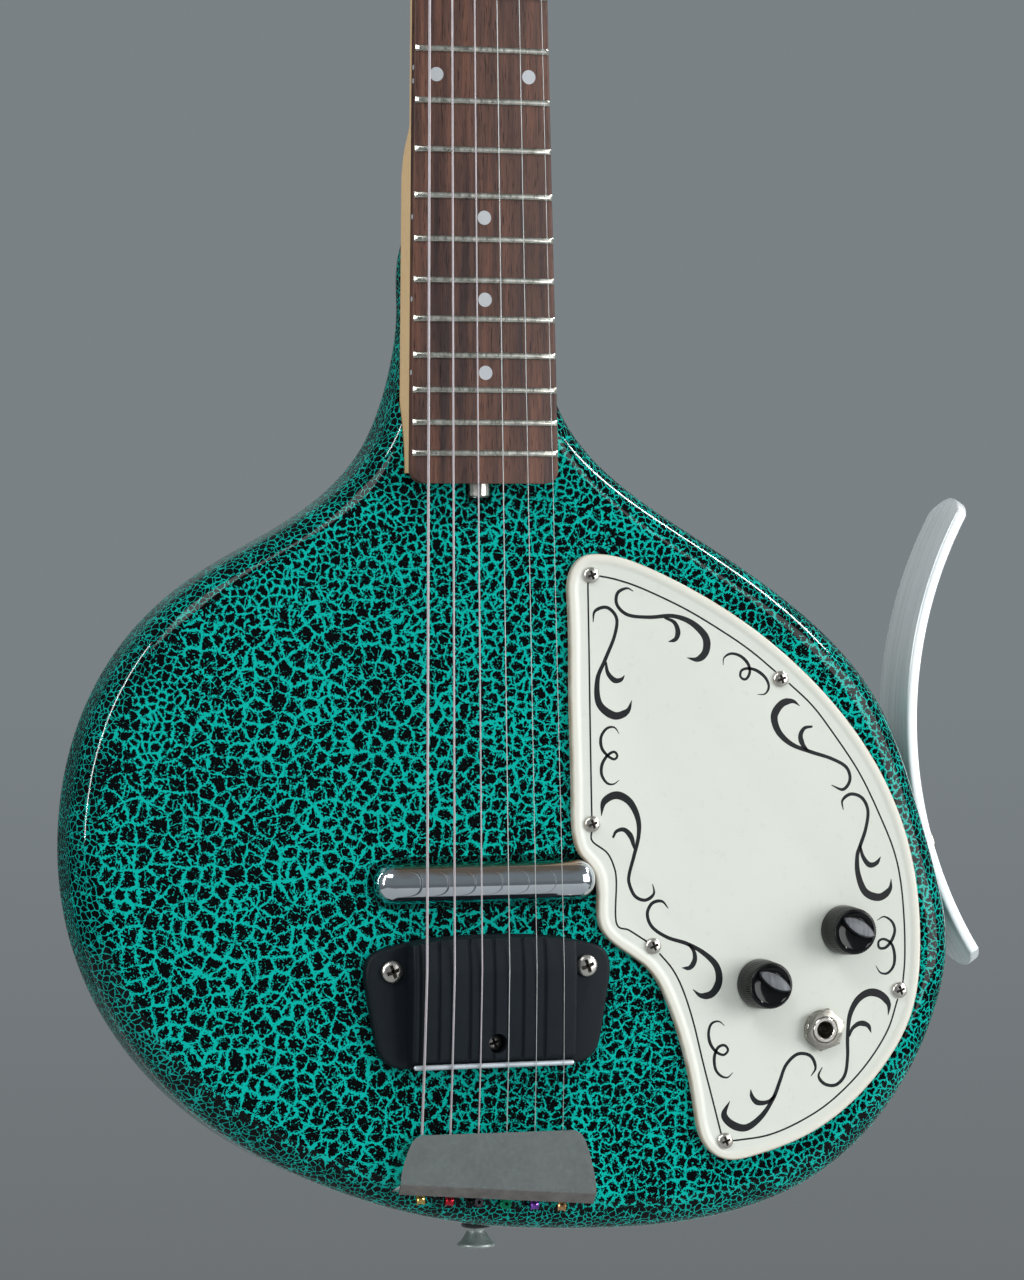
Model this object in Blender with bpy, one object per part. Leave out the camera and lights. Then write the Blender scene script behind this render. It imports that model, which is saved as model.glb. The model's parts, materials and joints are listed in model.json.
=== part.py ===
"""Electric sitar: a six-string teardrop guitar with a wide buzzing bridge and a leg rest.

Frame: metres, +Z up along the neck, the face looks along -Y, the leg rest is at +X.
The origin is on the middle line of the neck at the nut, on the fretboard's underside.
"""

import math

import bmesh
import bpy
import numpy
from mathutils import Matrix, Vector

MM = 0.001

# Clearances
GAP = 0.3 * MM
RUNNING_GAP = 0.35 * MM
TOOL_REACH = 15 * MM

# Scale, frets and neck
SCALE_LENGTH = 635 * MM
FRET_COUNT = 21
NUT_WIDTH = 42 * MM
BRIDGE_SPREAD_WIDTH = 62.6 * MM
FRETBOARD_THICKNESS = 4.6 * MM
FRETBOARD_OVERHANG = 11 * MM
FRETBOARD_CROWN_RADIUS = 355 * MM
FRETBOARD_END_ROUND = 5 * MM
FRET_WIDTH = 2.4 * MM
FRET_HEIGHT = 1.1 * MM
FRET_INSET = 0.4 * MM
NECK_DEPTH_AT_NUT = 13.5 * MM
HEEL_DEPTH = 15.3 * MM
HEEL_LENGTH = 104 * MM
HEEL_BLEND_LENGTH = 24 * MM
HEEL_SHORT_OF_FRETBOARD = 4 * MM
NUT_THICKNESS = 4 * MM
NUT_HEIGHT = 7.4 * MM

# Headstock and tuners
HEAD_LENGTH = 166 * MM
HEAD_THICKNESS = 13 * MM
HEAD_DROP = 5.5 * MM
HEAD_HALF_WIDTH = 35 * MM
HEAD_BLEND_LENGTH = 18 * MM
HEAD_SIDE_SHARES = (
    (0.78, 0.05), (0.94, 0.14), (1, 0.27), (1, 0.54), (0.97, 0.78), (0.82, 0.95), (0.42, 0.99),
)
POST_OFFSET = 21 * MM
FIRST_POST_Z = 44 * MM
POST_SPACING = 39 * MM
POSTS_PER_SIDE = 3
POST_RADIUS = 3 * MM
POST_HEIGHT = 11.5 * MM
POST_CAP_RADIUS = 3.7 * MM
TUNER_PLATE_THICKNESS = 1.2 * MM
TUNER_PLATE_WIDTH = 15 * MM
TUNER_PLATE_MARGIN = 17 * MM
WHEEL_TEETH = 14
WHEEL_RADIUS = 6 * MM
WHEEL_PITCH_RADIUS = 5.6 * MM
WHEEL_ROOT_RADIUS = 4.9 * MM
WHEEL_THICKNESS = 1.6 * MM
TOOTH_TIP_WIDTH = 0.55 * MM
WORM_RADIUS = 2.4 * MM
WORM_CORE_RADIUS = 1.3 * MM
WORM_TURNS = 2
WORM_SIDES = 8
THREAD_TOP_HALF = 0.27 * MM
THREAD_ROOT_HALF = 0.5 * MM
TUNER_SHAFT_RADIUS = 1.6 * MM
LUG_THICKNESS = 1.1 * MM
LUG_WIDTH = 7 * MM
KEY_CLEAR_OF_HEAD = 4.8 * MM
KEY_LENGTH = 16 * MM
KEY_HEIGHT = 13 * MM
KEY_THICKNESS = 5 * MM

# Body
FACE_DROP = 4.7 * MM
BODY_THICKNESS = 45.3 * MM
FRONT_EDGE_RADIUS = 12 * MM
BACK_EDGE_RADIUS = 18 * MM
BODY_OUTLINE = (
    (0, 283), (-15.6, 276.5), (-22, 261), (-22.3, 243), (-25.2, 222), (-29.6, 207), (-36.7, 192),
    (-59.4, 169.3), (-97.6, 147.2), (-124, 125.4), (-144, 92.7), (-152.5, 50), (-149.2, 16),
    (-135.7, -17), (-106.6, -51), (-58.6, -79), (-17.7, -91.5), (42.6, -97.7), (109.7, -92),
    (135.3, -82), (162.9, -60), (182.8, -26), (189.3, 9), (186.2, 26), (176.4, 60), (162.5, 95),
    (128.4, 132), (89.5, 158), (56.6, 180), (37, 202), (30.5, 217), (24.5, 235), (22.2, 250),
    (21.6, 263), (15.6, 276.5),
)

# Truss rod
TRUSS_ROD_RADIUS = 2.4 * MM
TRUSS_ROD_DEPTH = 5 * MM
TRUSS_NUT_RADIUS = 4 * MM
TRUSS_NUT_LENGTH = 8.5 * MM
TRUSS_WELL_WIDTH = 10 * MM
TRUSS_WELL_MARGIN = 2.5 * MM

# Pickguard and controls
GUARD_THICKNESS = 2.5 * MM
GUARD_RIM_RISE = 0.5 * MM
GUARD_BEVEL = 0.9 * MM
GUARD_RIM_WIDTH = 2.1 * MM
GUARD_OUTLINE = (
    (39.8, 151), (46, 151.4), (67.8, 143.9), (101.1, 124.7), (133.7, 97.6), (159.4, 65.4),
    (171.4, 33.4), (174.1, 4.4), (170.7, -23.5), (157.4, -45.3), (132.3, -65.5), (103.5, -74.3),
    (94.5, -74.4), (86.7, -69.8), (81.7, -53.8), (72.4, -17.4), (63.5, -1.9), (50.5, 7.5),
    (45.6, 13), (44.2, 22.3), (42.6, 35), (37.4, 41.2), (35.1, 48), (34.6, 60), (34, 100.6),
    (33.7, 133.6), (34.7, 145.5),
)
GUARD_SCREW_PLACES = (
    (42.4, 144.2), (117.3, 105), (42, 52.1), (65.6, 6.3), (164.5, -13.2), (93.5, -67.3),
)
CAVITY_OUTLINE = (
    (92, 8), (128, 32), (156, 27), (159, 2), (152, -24), (138, -46), (112, -44), (92, -25),
)
CAVITY_DEPTH = 28 * MM
KNOB_PLACES = {"volume": (141.9, 10.2), "tone": (108, -9)}
KNOB_BASE_RADIUS = 9.4 * MM
KNOB_TOP_RADIUS = 8.6 * MM
KNOB_HEIGHT = 12.5 * MM
KNOB_RIDGE_WIDTH = 4 * MM
KNOB_RIDGE_HEIGHT = 1.6 * MM
KNOB_RIDGE_ANGLE = 27
POT_RADIUS = 11.5 * MM
POT_DEPTH = 9.5 * MM
POT_BUSHING_RADIUS = 4.6 * MM
POT_SHAFT_RADIUS = 3 * MM
POT_BUSHING_STAND = 3 * MM
SHAFT_STAND = 11 * MM
JACK_PLACE = (132.9, -27)
JACK_BUSHING_RADIUS = 4.75 * MM
JACK_BORE_RADIUS = 3.2 * MM
JACK_BODY_RADIUS = 6 * MM
JACK_BODY_LENGTH = 24 * MM
JACK_WASHER_RADIUS = 7.4 * MM
JACK_WASHER_THICKNESS = 0.7 * MM
JACK_NUT_RADIUS = 7.2 * MM
JACK_NUT_THICKNESS = 2.3 * MM
JACK_NUT_TURN = 12
JACK_THREAD_STAND = 0.8 * MM

# Pickup
PICKUP_X = 0.7 * MM
PICKUP_ABOVE_BRIDGE = 32.1 * MM
PICKUP_LENGTH = 83.8 * MM
PICKUP_RADIUS = 7 * MM
PICKUP_WALL = 0.8 * MM
PICKUP_SUNK = 4 * MM
PICKUP_SLOT_MARGIN = 1.8 * MM
PICKUP_BACK_SLOT_WIDTH = 8 * MM

# Bridge
BRIDGE_X = 1.15 * MM
BRIDGE_HALF_OUTLINE = (
    (0, 12.5), (13, 12.2), (27, 11), (38.5, 8.6), (45, 5.6), (47, 0.5), (46.3, -8), (44.6, -18),
    (43, -26.5), (40.8, -32), (36, -35.3), (31, -35.9),
)
BRIDGE_WING_THICKNESS = 4.7 * MM
BRIDGE_BLOCK_HALF_WIDTH = 31.4 * MM
BRIDGE_CREST_HEIGHT = 13.6
BRIDGE_TAIL_HEIGHT = 11
BRIDGE_BLOCK_PROFILE = (
    (11.5, 6.2), (8, 10.6), (0, BRIDGE_CREST_HEIGHT), (-12, 12.8), (-24, 11.9),
    (-33.2, BRIDGE_TAIL_HEIGHT),
)
BRIDGE_GROOVE_RUN_IN = (13, 5)
BRIDGE_GROOVE_RUN_OUT = (-37, BRIDGE_TAIL_HEIGHT)
BRIDGE_GROOVE_PLACES = (-27.5, -20.5, -10.8, 2.6, 15, 27.5)
BRIDGE_GROOVE_WIDTH = 0.9 * MM
BRIDGE_GROOVE_DEPTH = 0.8 * MM
STRIP_THICKNESS = 1.5 * MM
STRIP_HEIGHT = 7 * MM
STRIP_BELOW_BLOCK = 0.3 * MM
BRIDGE_SCREW_OFFSET = 37.4 * MM
BRIDGE_CENTRE_SCREW = (1, -27)

# Tailpiece
TAIL_X = 1.75 * MM
TAIL_TOP_BELOW_BRIDGE = 59.8 * MM
TAIL_LENGTH = 20.8 * MM
TAIL_FLANGE_SLOPE = 3.6 * MM
TAIL_COVER_SHIFT = 1 * MM
TAIL_TOP_HALF_WIDTH = 29.4 * MM
TAIL_LOW_HALF_WIDTH = 37.6 * MM
TAIL_SKIRT_FLARE = 1 * MM
TAIL_HEIGHT = 9.6 * MM
TAIL_SHEET = 1.2 * MM
TAIL_TILT = 0.09
# The cover's side from its low corner up: how far out towards the low half width, how far down
TAIL_SIDE = ((1, 1), (0.97, 0.81), (0.86, 0.6), (0.69, 0.36), (0.5, 0.17), (0.31, 0.06), (0, 0))
TAIL_TAB_LENGTH = 7 * MM
TAIL_HOLE_HEIGHT = 3 * MM

# Strings, from the lowest to the highest
STRING_RADII = (0.58 * MM, 0.46 * MM, 0.34 * MM, 0.22 * MM, 0.17 * MM, 0.14 * MM)
NUT_STRING_SPREAD = 35.1 * MM
STRIP_STRING_SPREAD = 53.7 * MM
TAIL_STRING_SPREAD = 54.6 * MM
STRING_OVER_FIRST_FRET = 0.5 * MM
STRING_STRIP_SHIFT = 0.7 * MM
STRING_WRAPS = 2
STRING_WRAP_GAP = 0.55 * MM
WRAP_STEPS = 12
BALL_RADIUS = 2 * MM
BALL_THICKNESS = 3 * MM
BALL_BORE_RADIUS = 0.7 * MM

# Leg rest
LEG_REST_RADIUS = 166 * MM
LEG_REST_THICKNESS = 4.4 * MM
LEG_REST_DEPTH = 28 * MM
LEG_REST_BEHIND_FACE = 8.3 * MM
LEG_REST_HALF_ANGLE = 33.5
LEG_REST_END_BULGE = 6.3 * MM
LEG_REST_MIDDLE_Z = 86.7 * MM
LEG_REST_SCREW_SPREAD = 14 * MM

# Strap buttons
BUTTON_X = 3.8 * MM
BUTTON_SEAT_HALF_WIDTH = 20 * MM
BUTTON_RIM_RADIUS = 7.2 * MM
BUTTON_WAIST_RADIUS = 3.8 * MM
BUTTON_HEIGHT = 9.5 * MM
WASHER_RADIUS = 5.8 * MM
WASHER_THICKNESS = 1.8 * MM
HEEL_BUTTON_ABOVE_BRIDGE = 258 * MM

# Wood screws: head radius, head height, shank radius, length
GUARD_SCREW = (2.7 * MM, 1.5 * MM, 1.2 * MM, 12 * MM)
BRIDGE_SCREW = (3.7 * MM, 2.2 * MM, 1.6 * MM, 18 * MM)
SUNK_SCREW = (3 * MM, 1.8 * MM, 1.4 * MM, 18 * MM)
TAIL_SCREW = (3 * MM, 1.8 * MM, 1.5 * MM, 16 * MM)
NECK_SCREW = (4.5 * MM, 2.4 * MM, 2.2 * MM, 41 * MM)
LEG_REST_SCREW = (4 * MM, 2.2 * MM, 1.8 * MM, 24 * MM)
NECK_SCREW_ACROSS = 10.5 * MM
NECK_SCREW_ABOVE_END = 15.2 * MM
NECK_SCREW_SPACING = 29 * MM

ROUND_SIDES = 16
SMALL_SIDES = 8
MERGE_DISTANCE = 0.004 * MM

# Places worked out from the sizes above
BRIDGE_Z = -SCALE_LENGTH
FACE_Y = FACE_DROP
BACK_Y = FACE_Y + BODY_THICKNESS
FRET_TOP_Y = -GAP - FRETBOARD_THICKNESS - FRET_HEIGHT
FACE_OUT = Vector((0, -1, 0))
BACK_OUT = Vector((0, 1, 0))


def clear_scene():
    for old in list(bpy.data.objects):
        bpy.data.objects.remove(old)


def finish(name, colour, roughness, metallic=0.0):
    """A material with one colour, roughness and metallic value."""
    made = bpy.data.materials.new(name)
    made.use_nodes = True
    shader = made.node_tree.nodes["Principled BSDF"]
    shader.inputs["Base Color"].default_value = (*colour, 1)
    shader.inputs["Roughness"].default_value = roughness
    shader.inputs["Metallic"].default_value = metallic
    return made


def shade(mesh, angle=35):
    mesh.shade_smooth()
    mesh.set_sharp_from_angle(angle=math.radians(angle))


def from_bmesh(name, shape, place=None):
    """An object from a bmesh, with its faces turned outwards. place is its matrix."""
    bmesh.ops.recalc_face_normals(shape, faces=shape.faces)
    mesh = bpy.data.meshes.new(name)
    shape.to_mesh(mesh)
    shape.free()
    made = bpy.data.objects.new(name, mesh)
    bpy.context.scene.collection.objects.link(made)
    if place is not None:
        made.matrix_world = place
    return made


def dress(part, material):
    part.data.materials.clear()
    part.data.materials.append(material)
    shade(part.data)
    return part


def evaluated_mesh(made):
    """The object's mesh with its modifiers applied, or its curve's thickness."""
    bpy.context.view_layer.update()
    graph = bpy.context.evaluated_depsgraph_get()
    return bpy.data.meshes.new_from_object(made.evaluated_get(graph))


def combine(part, tools, operation):
    """Cuts the tools out of the part, or unites them with it, one after another."""
    for tool in tools:
        step = part.modifiers.new("combine", "BOOLEAN")
        step.operation = operation
        step.solver = "EXACT"
        step.object = tool
        mesh = evaluated_mesh(part)
        part.modifiers.clear()
        part.data = mesh
        bpy.data.objects.remove(tool)
    shape = bmesh.new()
    shape.from_mesh(part.data)
    bmesh.ops.remove_doubles(shape, verts=shape.verts, dist=MERGE_DISTANCE)
    shape.to_mesh(part.data)
    shape.free()


def joined(tools):
    """One object of several that don't touch, so that a single Boolean takes them all."""
    shape = bmesh.new()
    for tool in tools:
        tool.data.transform(tool.matrix_world)
        shape.from_mesh(tool.data)
        bpy.data.objects.remove(tool)
    return from_bmesh("tools", shape)


def facing(place, direction):
    """The matrix that puts an object's origin at place and turns its Z axis to direction."""
    turn = Vector((0, 0, 1)).rotation_difference(Vector(direction)).to_matrix().to_4x4()
    return Matrix.Translation(place) @ turn


def lofted(name, rings, place=None):
    """A closed solid through rings with equal numbers of points."""
    shape = bmesh.new()
    loops = [[shape.verts.new(point) for point in ring] for ring in rings]
    for first, second in zip(loops, loops[1:]):
        for i in range(len(first)):
            j = (i + 1) % len(first)
            shape.faces.new((first[i], first[j], second[j], second[i]))
    shape.faces.new(loops[0])
    shape.faces.new(loops[-1])
    return from_bmesh(name, shape, place)


def prism(name, outline, y_front, y_back):
    """A flat outline of (x, z) points, made solid between two depths."""
    return lofted(name, [[(x, y, z) for x, z in outline] for y in (y_front, y_back)])


def block(name, low, high):
    outline = ((low[0], low[2]), (high[0], low[2]), (high[0], high[2]), (low[0], high[2]))
    return prism(name, outline, low[1], high[1])


def turned(name, profile, place=None, sides=ROUND_SIDES):
    """A solid of revolution about Z from (radius, height) points; ends on the axis close it."""
    shape = bmesh.new()
    points = [shape.verts.new((radius, 0, height)) for radius, height in profile]
    edges = [shape.edges.new(pair) for pair in zip(points, points[1:])]
    if profile[0][0] > 0:
        edges.append(shape.edges.new((points[-1], points[0])))
    bmesh.ops.spin(
        shape, geom=points + edges, axis=(0, 0, 1), cent=(0, 0, 0), steps=sides,
        angle=2 * math.pi, use_merge=True,
    )
    bmesh.ops.remove_doubles(shape, verts=shape.verts, dist=MERGE_DISTANCE)
    return from_bmesh(name, shape, place)


def rod(name, radius, start, end, sides=ROUND_SIDES):
    """A cylinder from one point to another."""
    start, end = Vector(start), Vector(end)
    profile = ((0, 0), (radius, 0), (radius, (end - start).length), (0, (end - start).length))
    return turned(name, profile, facing(start, end - start), sides)


def smooth_loop(points, steps):
    """A closed curve through the points, with an even bend and steps stretches between two."""
    knots = numpy.array(points, float)
    count = len(knots)
    ahead = numpy.roll(knots, -1, axis=0) - knots
    gaps = numpy.hypot(ahead[:, 0], ahead[:, 1])
    system = numpy.zeros((count, count))
    pull = numpy.zeros((count, 2))
    for i in range(count):
        before, after = gaps[i - 1], gaps[i]
        system[i, i - 1] = after
        system[i, i] = 2 * (before + after)
        system[i, (i + 1) % count] = before
        pull[i] = 3 * (after * ahead[i - 1] / before + before * ahead[i] / after)
    slopes = numpy.linalg.solve(system, pull)
    curve = []
    for i in range(count):
        j = (i + 1) % count
        for t in numpy.arange(steps) / steps:
            stay = (1 + 2 * t) * (1 - t) ** 2
            leave = t * (1 - t) ** 2 * gaps[i]
            arrive = t**2 * (t - 1) * gaps[i]
            curve.append(stay * knots[i] + (1 - stay) * knots[j] + leave * slopes[i] + arrive * slopes[j])
    return [(float(x), float(z)) for x, z in curve]


def inset(loop, distance):
    """The closed outline moved inwards, square to itself, by a distance."""
    points = numpy.array(loop)
    along = numpy.roll(points, -1, axis=0) - numpy.roll(points, 1, axis=0)
    along /= numpy.hypot(along[:, 0], along[:, 1])[:, None]
    ahead = numpy.roll(points, -1, axis=0)
    area = numpy.sum(points[:, 0] * ahead[:, 1] - ahead[:, 0] * points[:, 1])
    side = 1 if area > 0 else -1
    inward = numpy.stack([-along[:, 1], along[:, 0]], axis=1) * side
    return [(float(x), float(z)) for x, z in points + inward * distance]


def on_body(outline, middle=0.0):
    """Outline points in millimetres from the bridge line, as real places."""
    return [(middle + x * MM, BRIDGE_Z + z * MM) for x, z in outline]


def place_on(y, spot, middle=0.0):
    (x, z), = on_body((spot,), middle)
    return Vector((x, y, z))


def fret_z(number):
    return -SCALE_LENGTH * (1 - 2 ** (-number / 12))


def half_width(z):
    """Half the fretboard's width at a height; it widens evenly from the nut."""
    return (NUT_WIDTH + (BRIDGE_SPREAD_WIDTH - NUT_WIDTH) * (-z / SCALE_LENGTH)) / 2


def blend(start, end, share):
    """An even change from start to end with soft ends."""
    share = min(max(share, 0), 1)
    return start + (end - start) * share * share * (3 - 2 * share)


FRETBOARD_END_Z = fret_z(FRET_COUNT) - FRETBOARD_OVERHANG
HEEL_END_Z = FRETBOARD_END_Z + HEEL_SHORT_OF_FRETBOARD
HEEL_TOP_Z = HEEL_END_Z + HEEL_LENGTH


def wood_screw(name, seat, direction, sizes, material, sides=SMALL_SIDES):
    """A round-headed screw whose head seats at a point and whose shank goes against direction."""
    head, height, shank, length = sizes
    profile = (
        (0, -length), (shank, -length + 5 * shank),
        (shank, 0), (head, 0), (head, 0.35 * height), (0.72 * head, 0.85 * height), (0, height),
    )
    seat = Vector(seat) + GAP * Vector(direction)
    return dress(turned(name, profile, facing(seat, direction), sides), material)


def screw_hole(seat, direction, sizes):
    """The tool that clears a screw's shank below its seat."""
    start = Vector(seat) + Vector(direction) * 2 * MM
    end = Vector(seat) - Vector(direction) * (sizes[3] + GAP)
    return rod("hole", sizes[2] + GAP, start, end, SMALL_SIDES)


clear_scene()
lacquer = finish("crackle_lacquer", (0.01, 0.12, 0.11), 0.25)
maple = finish("maple", (0.52, 0.34, 0.15), 0.4)
rosewood = finish("rosewood", (0.07, 0.03, 0.022), 0.5)
bone = finish("nut_plastic", (0.75, 0.72, 0.62), 0.4)
steel = finish("steel", (0.55, 0.55, 0.55), 0.3, 1)
nickel = finish("nickel", (0.6, 0.57, 0.52), 0.25, 1)
chrome = finish("chrome", (0.62, 0.63, 0.65), 0.08, 1)
brass = finish("brass", (0.6, 0.42, 0.18), 0.3, 1)
cream = finish("cream_plastic", (0.72, 0.74, 0.66), 0.35)
black_plastic = finish("black_plastic", (0.012, 0.012, 0.014), 0.25)
black_bridge = finish("black_bridge", (0.02, 0.021, 0.024), 0.55)
aluminium = finish("brushed_aluminium", (0.6, 0.61, 0.62), 0.35, 1)
felt = finish("felt", (0.01, 0.01, 0.01), 0.9)


# Body, with the neck's pocket, the pickup's slot and the control cavity
body_loop = smooth_loop(on_body(BODY_OUTLINE), 2)
EDGE_STEPS = 3


def rings_at(loop, steps):
    """The closed outline moved inwards and set at a depth, once for each pair in steps."""
    return [[(x, y, z) for x, z in inset(loop, distance)] for distance, y in steps]


def body_rings():
    """Rings from the flat face round both edges to the flat back."""
    steps = []
    for step in range(EDGE_STEPS + 1):
        turn = math.pi / 2 * step / EDGE_STEPS
        across, deep = 1 - math.sin(turn), 1 - math.cos(turn)
        steps.append((FRONT_EDGE_RADIUS * across, FACE_Y + FRONT_EDGE_RADIUS * deep))
    for step in range(EDGE_STEPS + 1):
        turn = math.pi / 2 * step / EDGE_STEPS
        across, deep = 1 - math.cos(turn), 1 - math.sin(turn)
        steps.append((BACK_EDGE_RADIUS * across, BACK_Y - BACK_EDGE_RADIUS * deep))
    return rings_at(body_loop, steps)


body = lofted("body", body_rings())


def pocket_tool():
    top_z, low_z = BRIDGE_Z + BODY_OUTLINE[0][1] * MM + TOOL_REACH, HEEL_END_Z - GAP
    top, low = half_width(top_z) + GAP, half_width(low_z) + GAP
    outline = ((-low, low_z), (low, low_z), (top, top_z), (-top, top_z))
    return prism("pocket", outline, -TOOL_REACH, HEEL_DEPTH + GAP)


pickup_z = BRIDGE_Z + PICKUP_ABOVE_BRIDGE
pickup_y = FACE_Y + PICKUP_SUNK - PICKUP_RADIUS


def capsule(name, length, radius):
    """A round bar with domed ends, lying along X at the pickup's place."""
    straight = length / 2 - radius
    turns = [math.pi / 2 * step / 3 for step in range(4)]
    low = [(radius * math.sin(turn), -straight - radius * math.cos(turn)) for turn in turns]
    profile = low + [(across, -along) for across, along in reversed(low)]
    return turned(name, profile, facing((PICKUP_X, pickup_y, pickup_z), (1, 0, 0)), 14)


def pickup_slot():
    half = PICKUP_LENGTH / 2 + PICKUP_SLOT_MARGIN
    high = PICKUP_RADIUS + PICKUP_SLOT_MARGIN
    outline = []
    for end in (1, -1):
        for step in range(9):
            turn = math.radians(-90 + 22.5 * step) if end > 0 else math.radians(90 + 22.5 * step)
            outline.append((
                PICKUP_X + end * (half - high) + high * math.cos(turn),
                pickup_z + high * math.sin(turn),
            ))
    return prism("slot", outline, -TOOL_REACH, pickup_y + PICKUP_RADIUS + GAP)


def truss_well():
    half = TRUSS_WELL_WIDTH / 2
    low_z = HEEL_END_Z - TRUSS_NUT_LENGTH - TRUSS_WELL_MARGIN
    depth = TRUSS_ROD_DEPTH + TRUSS_NUT_RADIUS + TRUSS_WELL_MARGIN / 2
    return block("well", (-half, -TOOL_REACH, low_z), (half, depth, HEEL_END_Z + 1 * MM))


guard_screw_seats = [place_on(FACE_Y - GAP - GUARD_THICKNESS, spot) for spot in GUARD_SCREW_PLACES]
bridge_seat_y = FACE_Y - GAP - BRIDGE_WING_THICKNESS
bridge_wing_seats = [
    Vector((BRIDGE_X + side * BRIDGE_SCREW_OFFSET, bridge_seat_y, BRIDGE_Z)) for side in (-1, 1)
]
bridge_sunk_seat = place_on(bridge_seat_y, BRIDGE_CENTRE_SCREW, BRIDGE_X)
tail_top_z = BRIDGE_Z - TAIL_TOP_BELOW_BRIDGE
tail_screw_x = TAIL_STRING_SPREAD / 2 * (1 - 1 / (len(STRING_RADII) - 1))
tail_seats = [
    Vector((TAIL_X + side * tail_screw_x, FACE_Y - GAP - TAIL_SHEET, tail_top_z - TAIL_LENGTH * 0.6))
    for side in (-1, 1)
]
neck_screw_z = HEEL_END_Z + NECK_SCREW_ABOVE_END
neck_seats = [
    Vector((0, BACK_Y, neck_screw_z + NECK_SCREW_SPACING)),
    Vector((-NECK_SCREW_ACROSS, BACK_Y, neck_screw_z)), Vector((NECK_SCREW_ACROSS, BACK_Y, neck_screw_z)),
]


def leg_rest_centre():
    """The middle of the leg rest's curve, so far out that the rest just clears the body."""
    middle_z = BRIDGE_Z + LEG_REST_MIDDLE_Z
    best = (0, 0)
    outline = smooth_loop(on_body(BODY_OUTLINE), 12)
    for x, z in outline:
        rise = z - middle_z
        if x > 0 and abs(rise) < LEG_REST_RADIUS * math.sin(math.radians(LEG_REST_HALF_ANGLE)):
            best = max(best, (x + math.sqrt(LEG_REST_RADIUS**2 - rise**2), z))
    return Vector((best[0] + GAP * 1.3, 0, middle_z)), best[1]


rest_centre, rest_touch_z = leg_rest_centre()
rest_touch_angle = math.asin((rest_touch_z - rest_centre.z) / LEG_REST_RADIUS)
rest_out = Vector((math.cos(rest_touch_angle), 0, -math.sin(rest_touch_angle)))
rest_middle_y = FACE_Y + LEG_REST_BEHIND_FACE + LEG_REST_DEPTH / 2
rest_seats = [
    Vector((rest_centre.x, rest_middle_y + side * LEG_REST_SCREW_SPREAD / 2, rest_centre.z))
    - rest_out * (LEG_REST_RADIUS - LEG_REST_THICKNESS) for side in (-1, 1)
]

button_y = FACE_Y + BODY_THICKNESS / 2
button_z = min(z for x, z in body_loop if abs(x - BUTTON_X) < BUTTON_SEAT_HALF_WIDTH)
button_seat = Vector((BUTTON_X, button_y, button_z))
button_out = Vector((0, 0, -1))
heel_button_seat = Vector((0, BACK_Y, BRIDGE_Z + HEEL_BUTTON_ABOVE_BRIDGE))
BUTTON_SCREW = (BUTTON_WAIST_RADIUS, 1 * MM, 1.8 * MM, 22 * MM)

body_screws = (
    [(seat, FACE_OUT, GUARD_SCREW) for seat in guard_screw_seats]
    + [(seat, FACE_OUT, BRIDGE_SCREW) for seat in bridge_wing_seats]
    + [(bridge_sunk_seat, FACE_OUT, SUNK_SCREW)]
    + [(seat, FACE_OUT, TAIL_SCREW) for seat in tail_seats]
    + [(seat, BACK_OUT, NECK_SCREW) for seat in neck_seats]
    + [(seat, rest_out, LEG_REST_SCREW) for seat in rest_seats]
    + [(button_seat, button_out, BUTTON_SCREW), (heel_button_seat, BACK_OUT, BUTTON_SCREW)]
)
cavity_loop = smooth_loop(on_body(CAVITY_OUTLINE), 4)
cavity_tool = prism("cavity", cavity_loop, -TOOL_REACH, FACE_Y + CAVITY_DEPTH)
combine(body, [pocket_tool(), truss_well(), pickup_slot(), cavity_tool], "DIFFERENCE")
combine(body, [joined([screw_hole(*screw) for screw in body_screws])], "DIFFERENCE")
dress(body, lacquer)


# Neck and headstock
NECK_RING_STEPS = 14
NECK_SQUARENESS = 2.2
HEAD_SQUARENESS = 6
HEEL_SQUARENESS = 12


def neck_ring(z, width, top_y, low_y, squareness):
    """A flat top with a back between an ellipse (squareness 2) and nearly a box (12)."""
    ring = []
    for step in range(NECK_RING_STEPS + 1):
        turn = math.pi * step / NECK_RING_STEPS
        across = math.copysign(abs(math.cos(turn)) ** (2 / squareness), math.cos(turn))
        deep = math.sin(turn) ** (2 / squareness) if 0 < step < NECK_RING_STEPS else 0
        ring.append((-width * across, top_y + (low_y - top_y) * deep, z))
    return ring


def neck_rings():
    rings = [neck_ring(HEEL_END_Z, half_width(HEEL_END_Z), 0, HEEL_DEPTH, HEEL_SQUARENESS)]
    for step in range(7):
        share = step / 6
        z = HEEL_TOP_Z + HEEL_BLEND_LENGTH * share
        squareness = blend(HEEL_SQUARENESS, NECK_SQUARENESS, share)
        rings.append(neck_ring(z, half_width(z), 0, HEEL_DEPTH, squareness))
    rings.append(neck_ring(0, half_width(0), 0, NECK_DEPTH_AT_NUT, NECK_SQUARENESS))
    start = NUT_THICKNESS + 2 * GAP
    for step in range(5):
        share = step / 4
        z = start + HEAD_BLEND_LENGTH * share
        width = half_width(0) * blend(1, 1.12, share)
        low_y = blend(NECK_DEPTH_AT_NUT, HEAD_DROP + HEAD_THICKNESS, share + 0.1)
        squareness = blend(NECK_SQUARENESS, HEAD_SQUARENESS, share)
        rings.append(neck_ring(z, width, blend(0, HEAD_DROP, share), low_y, squareness))
    return rings


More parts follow.
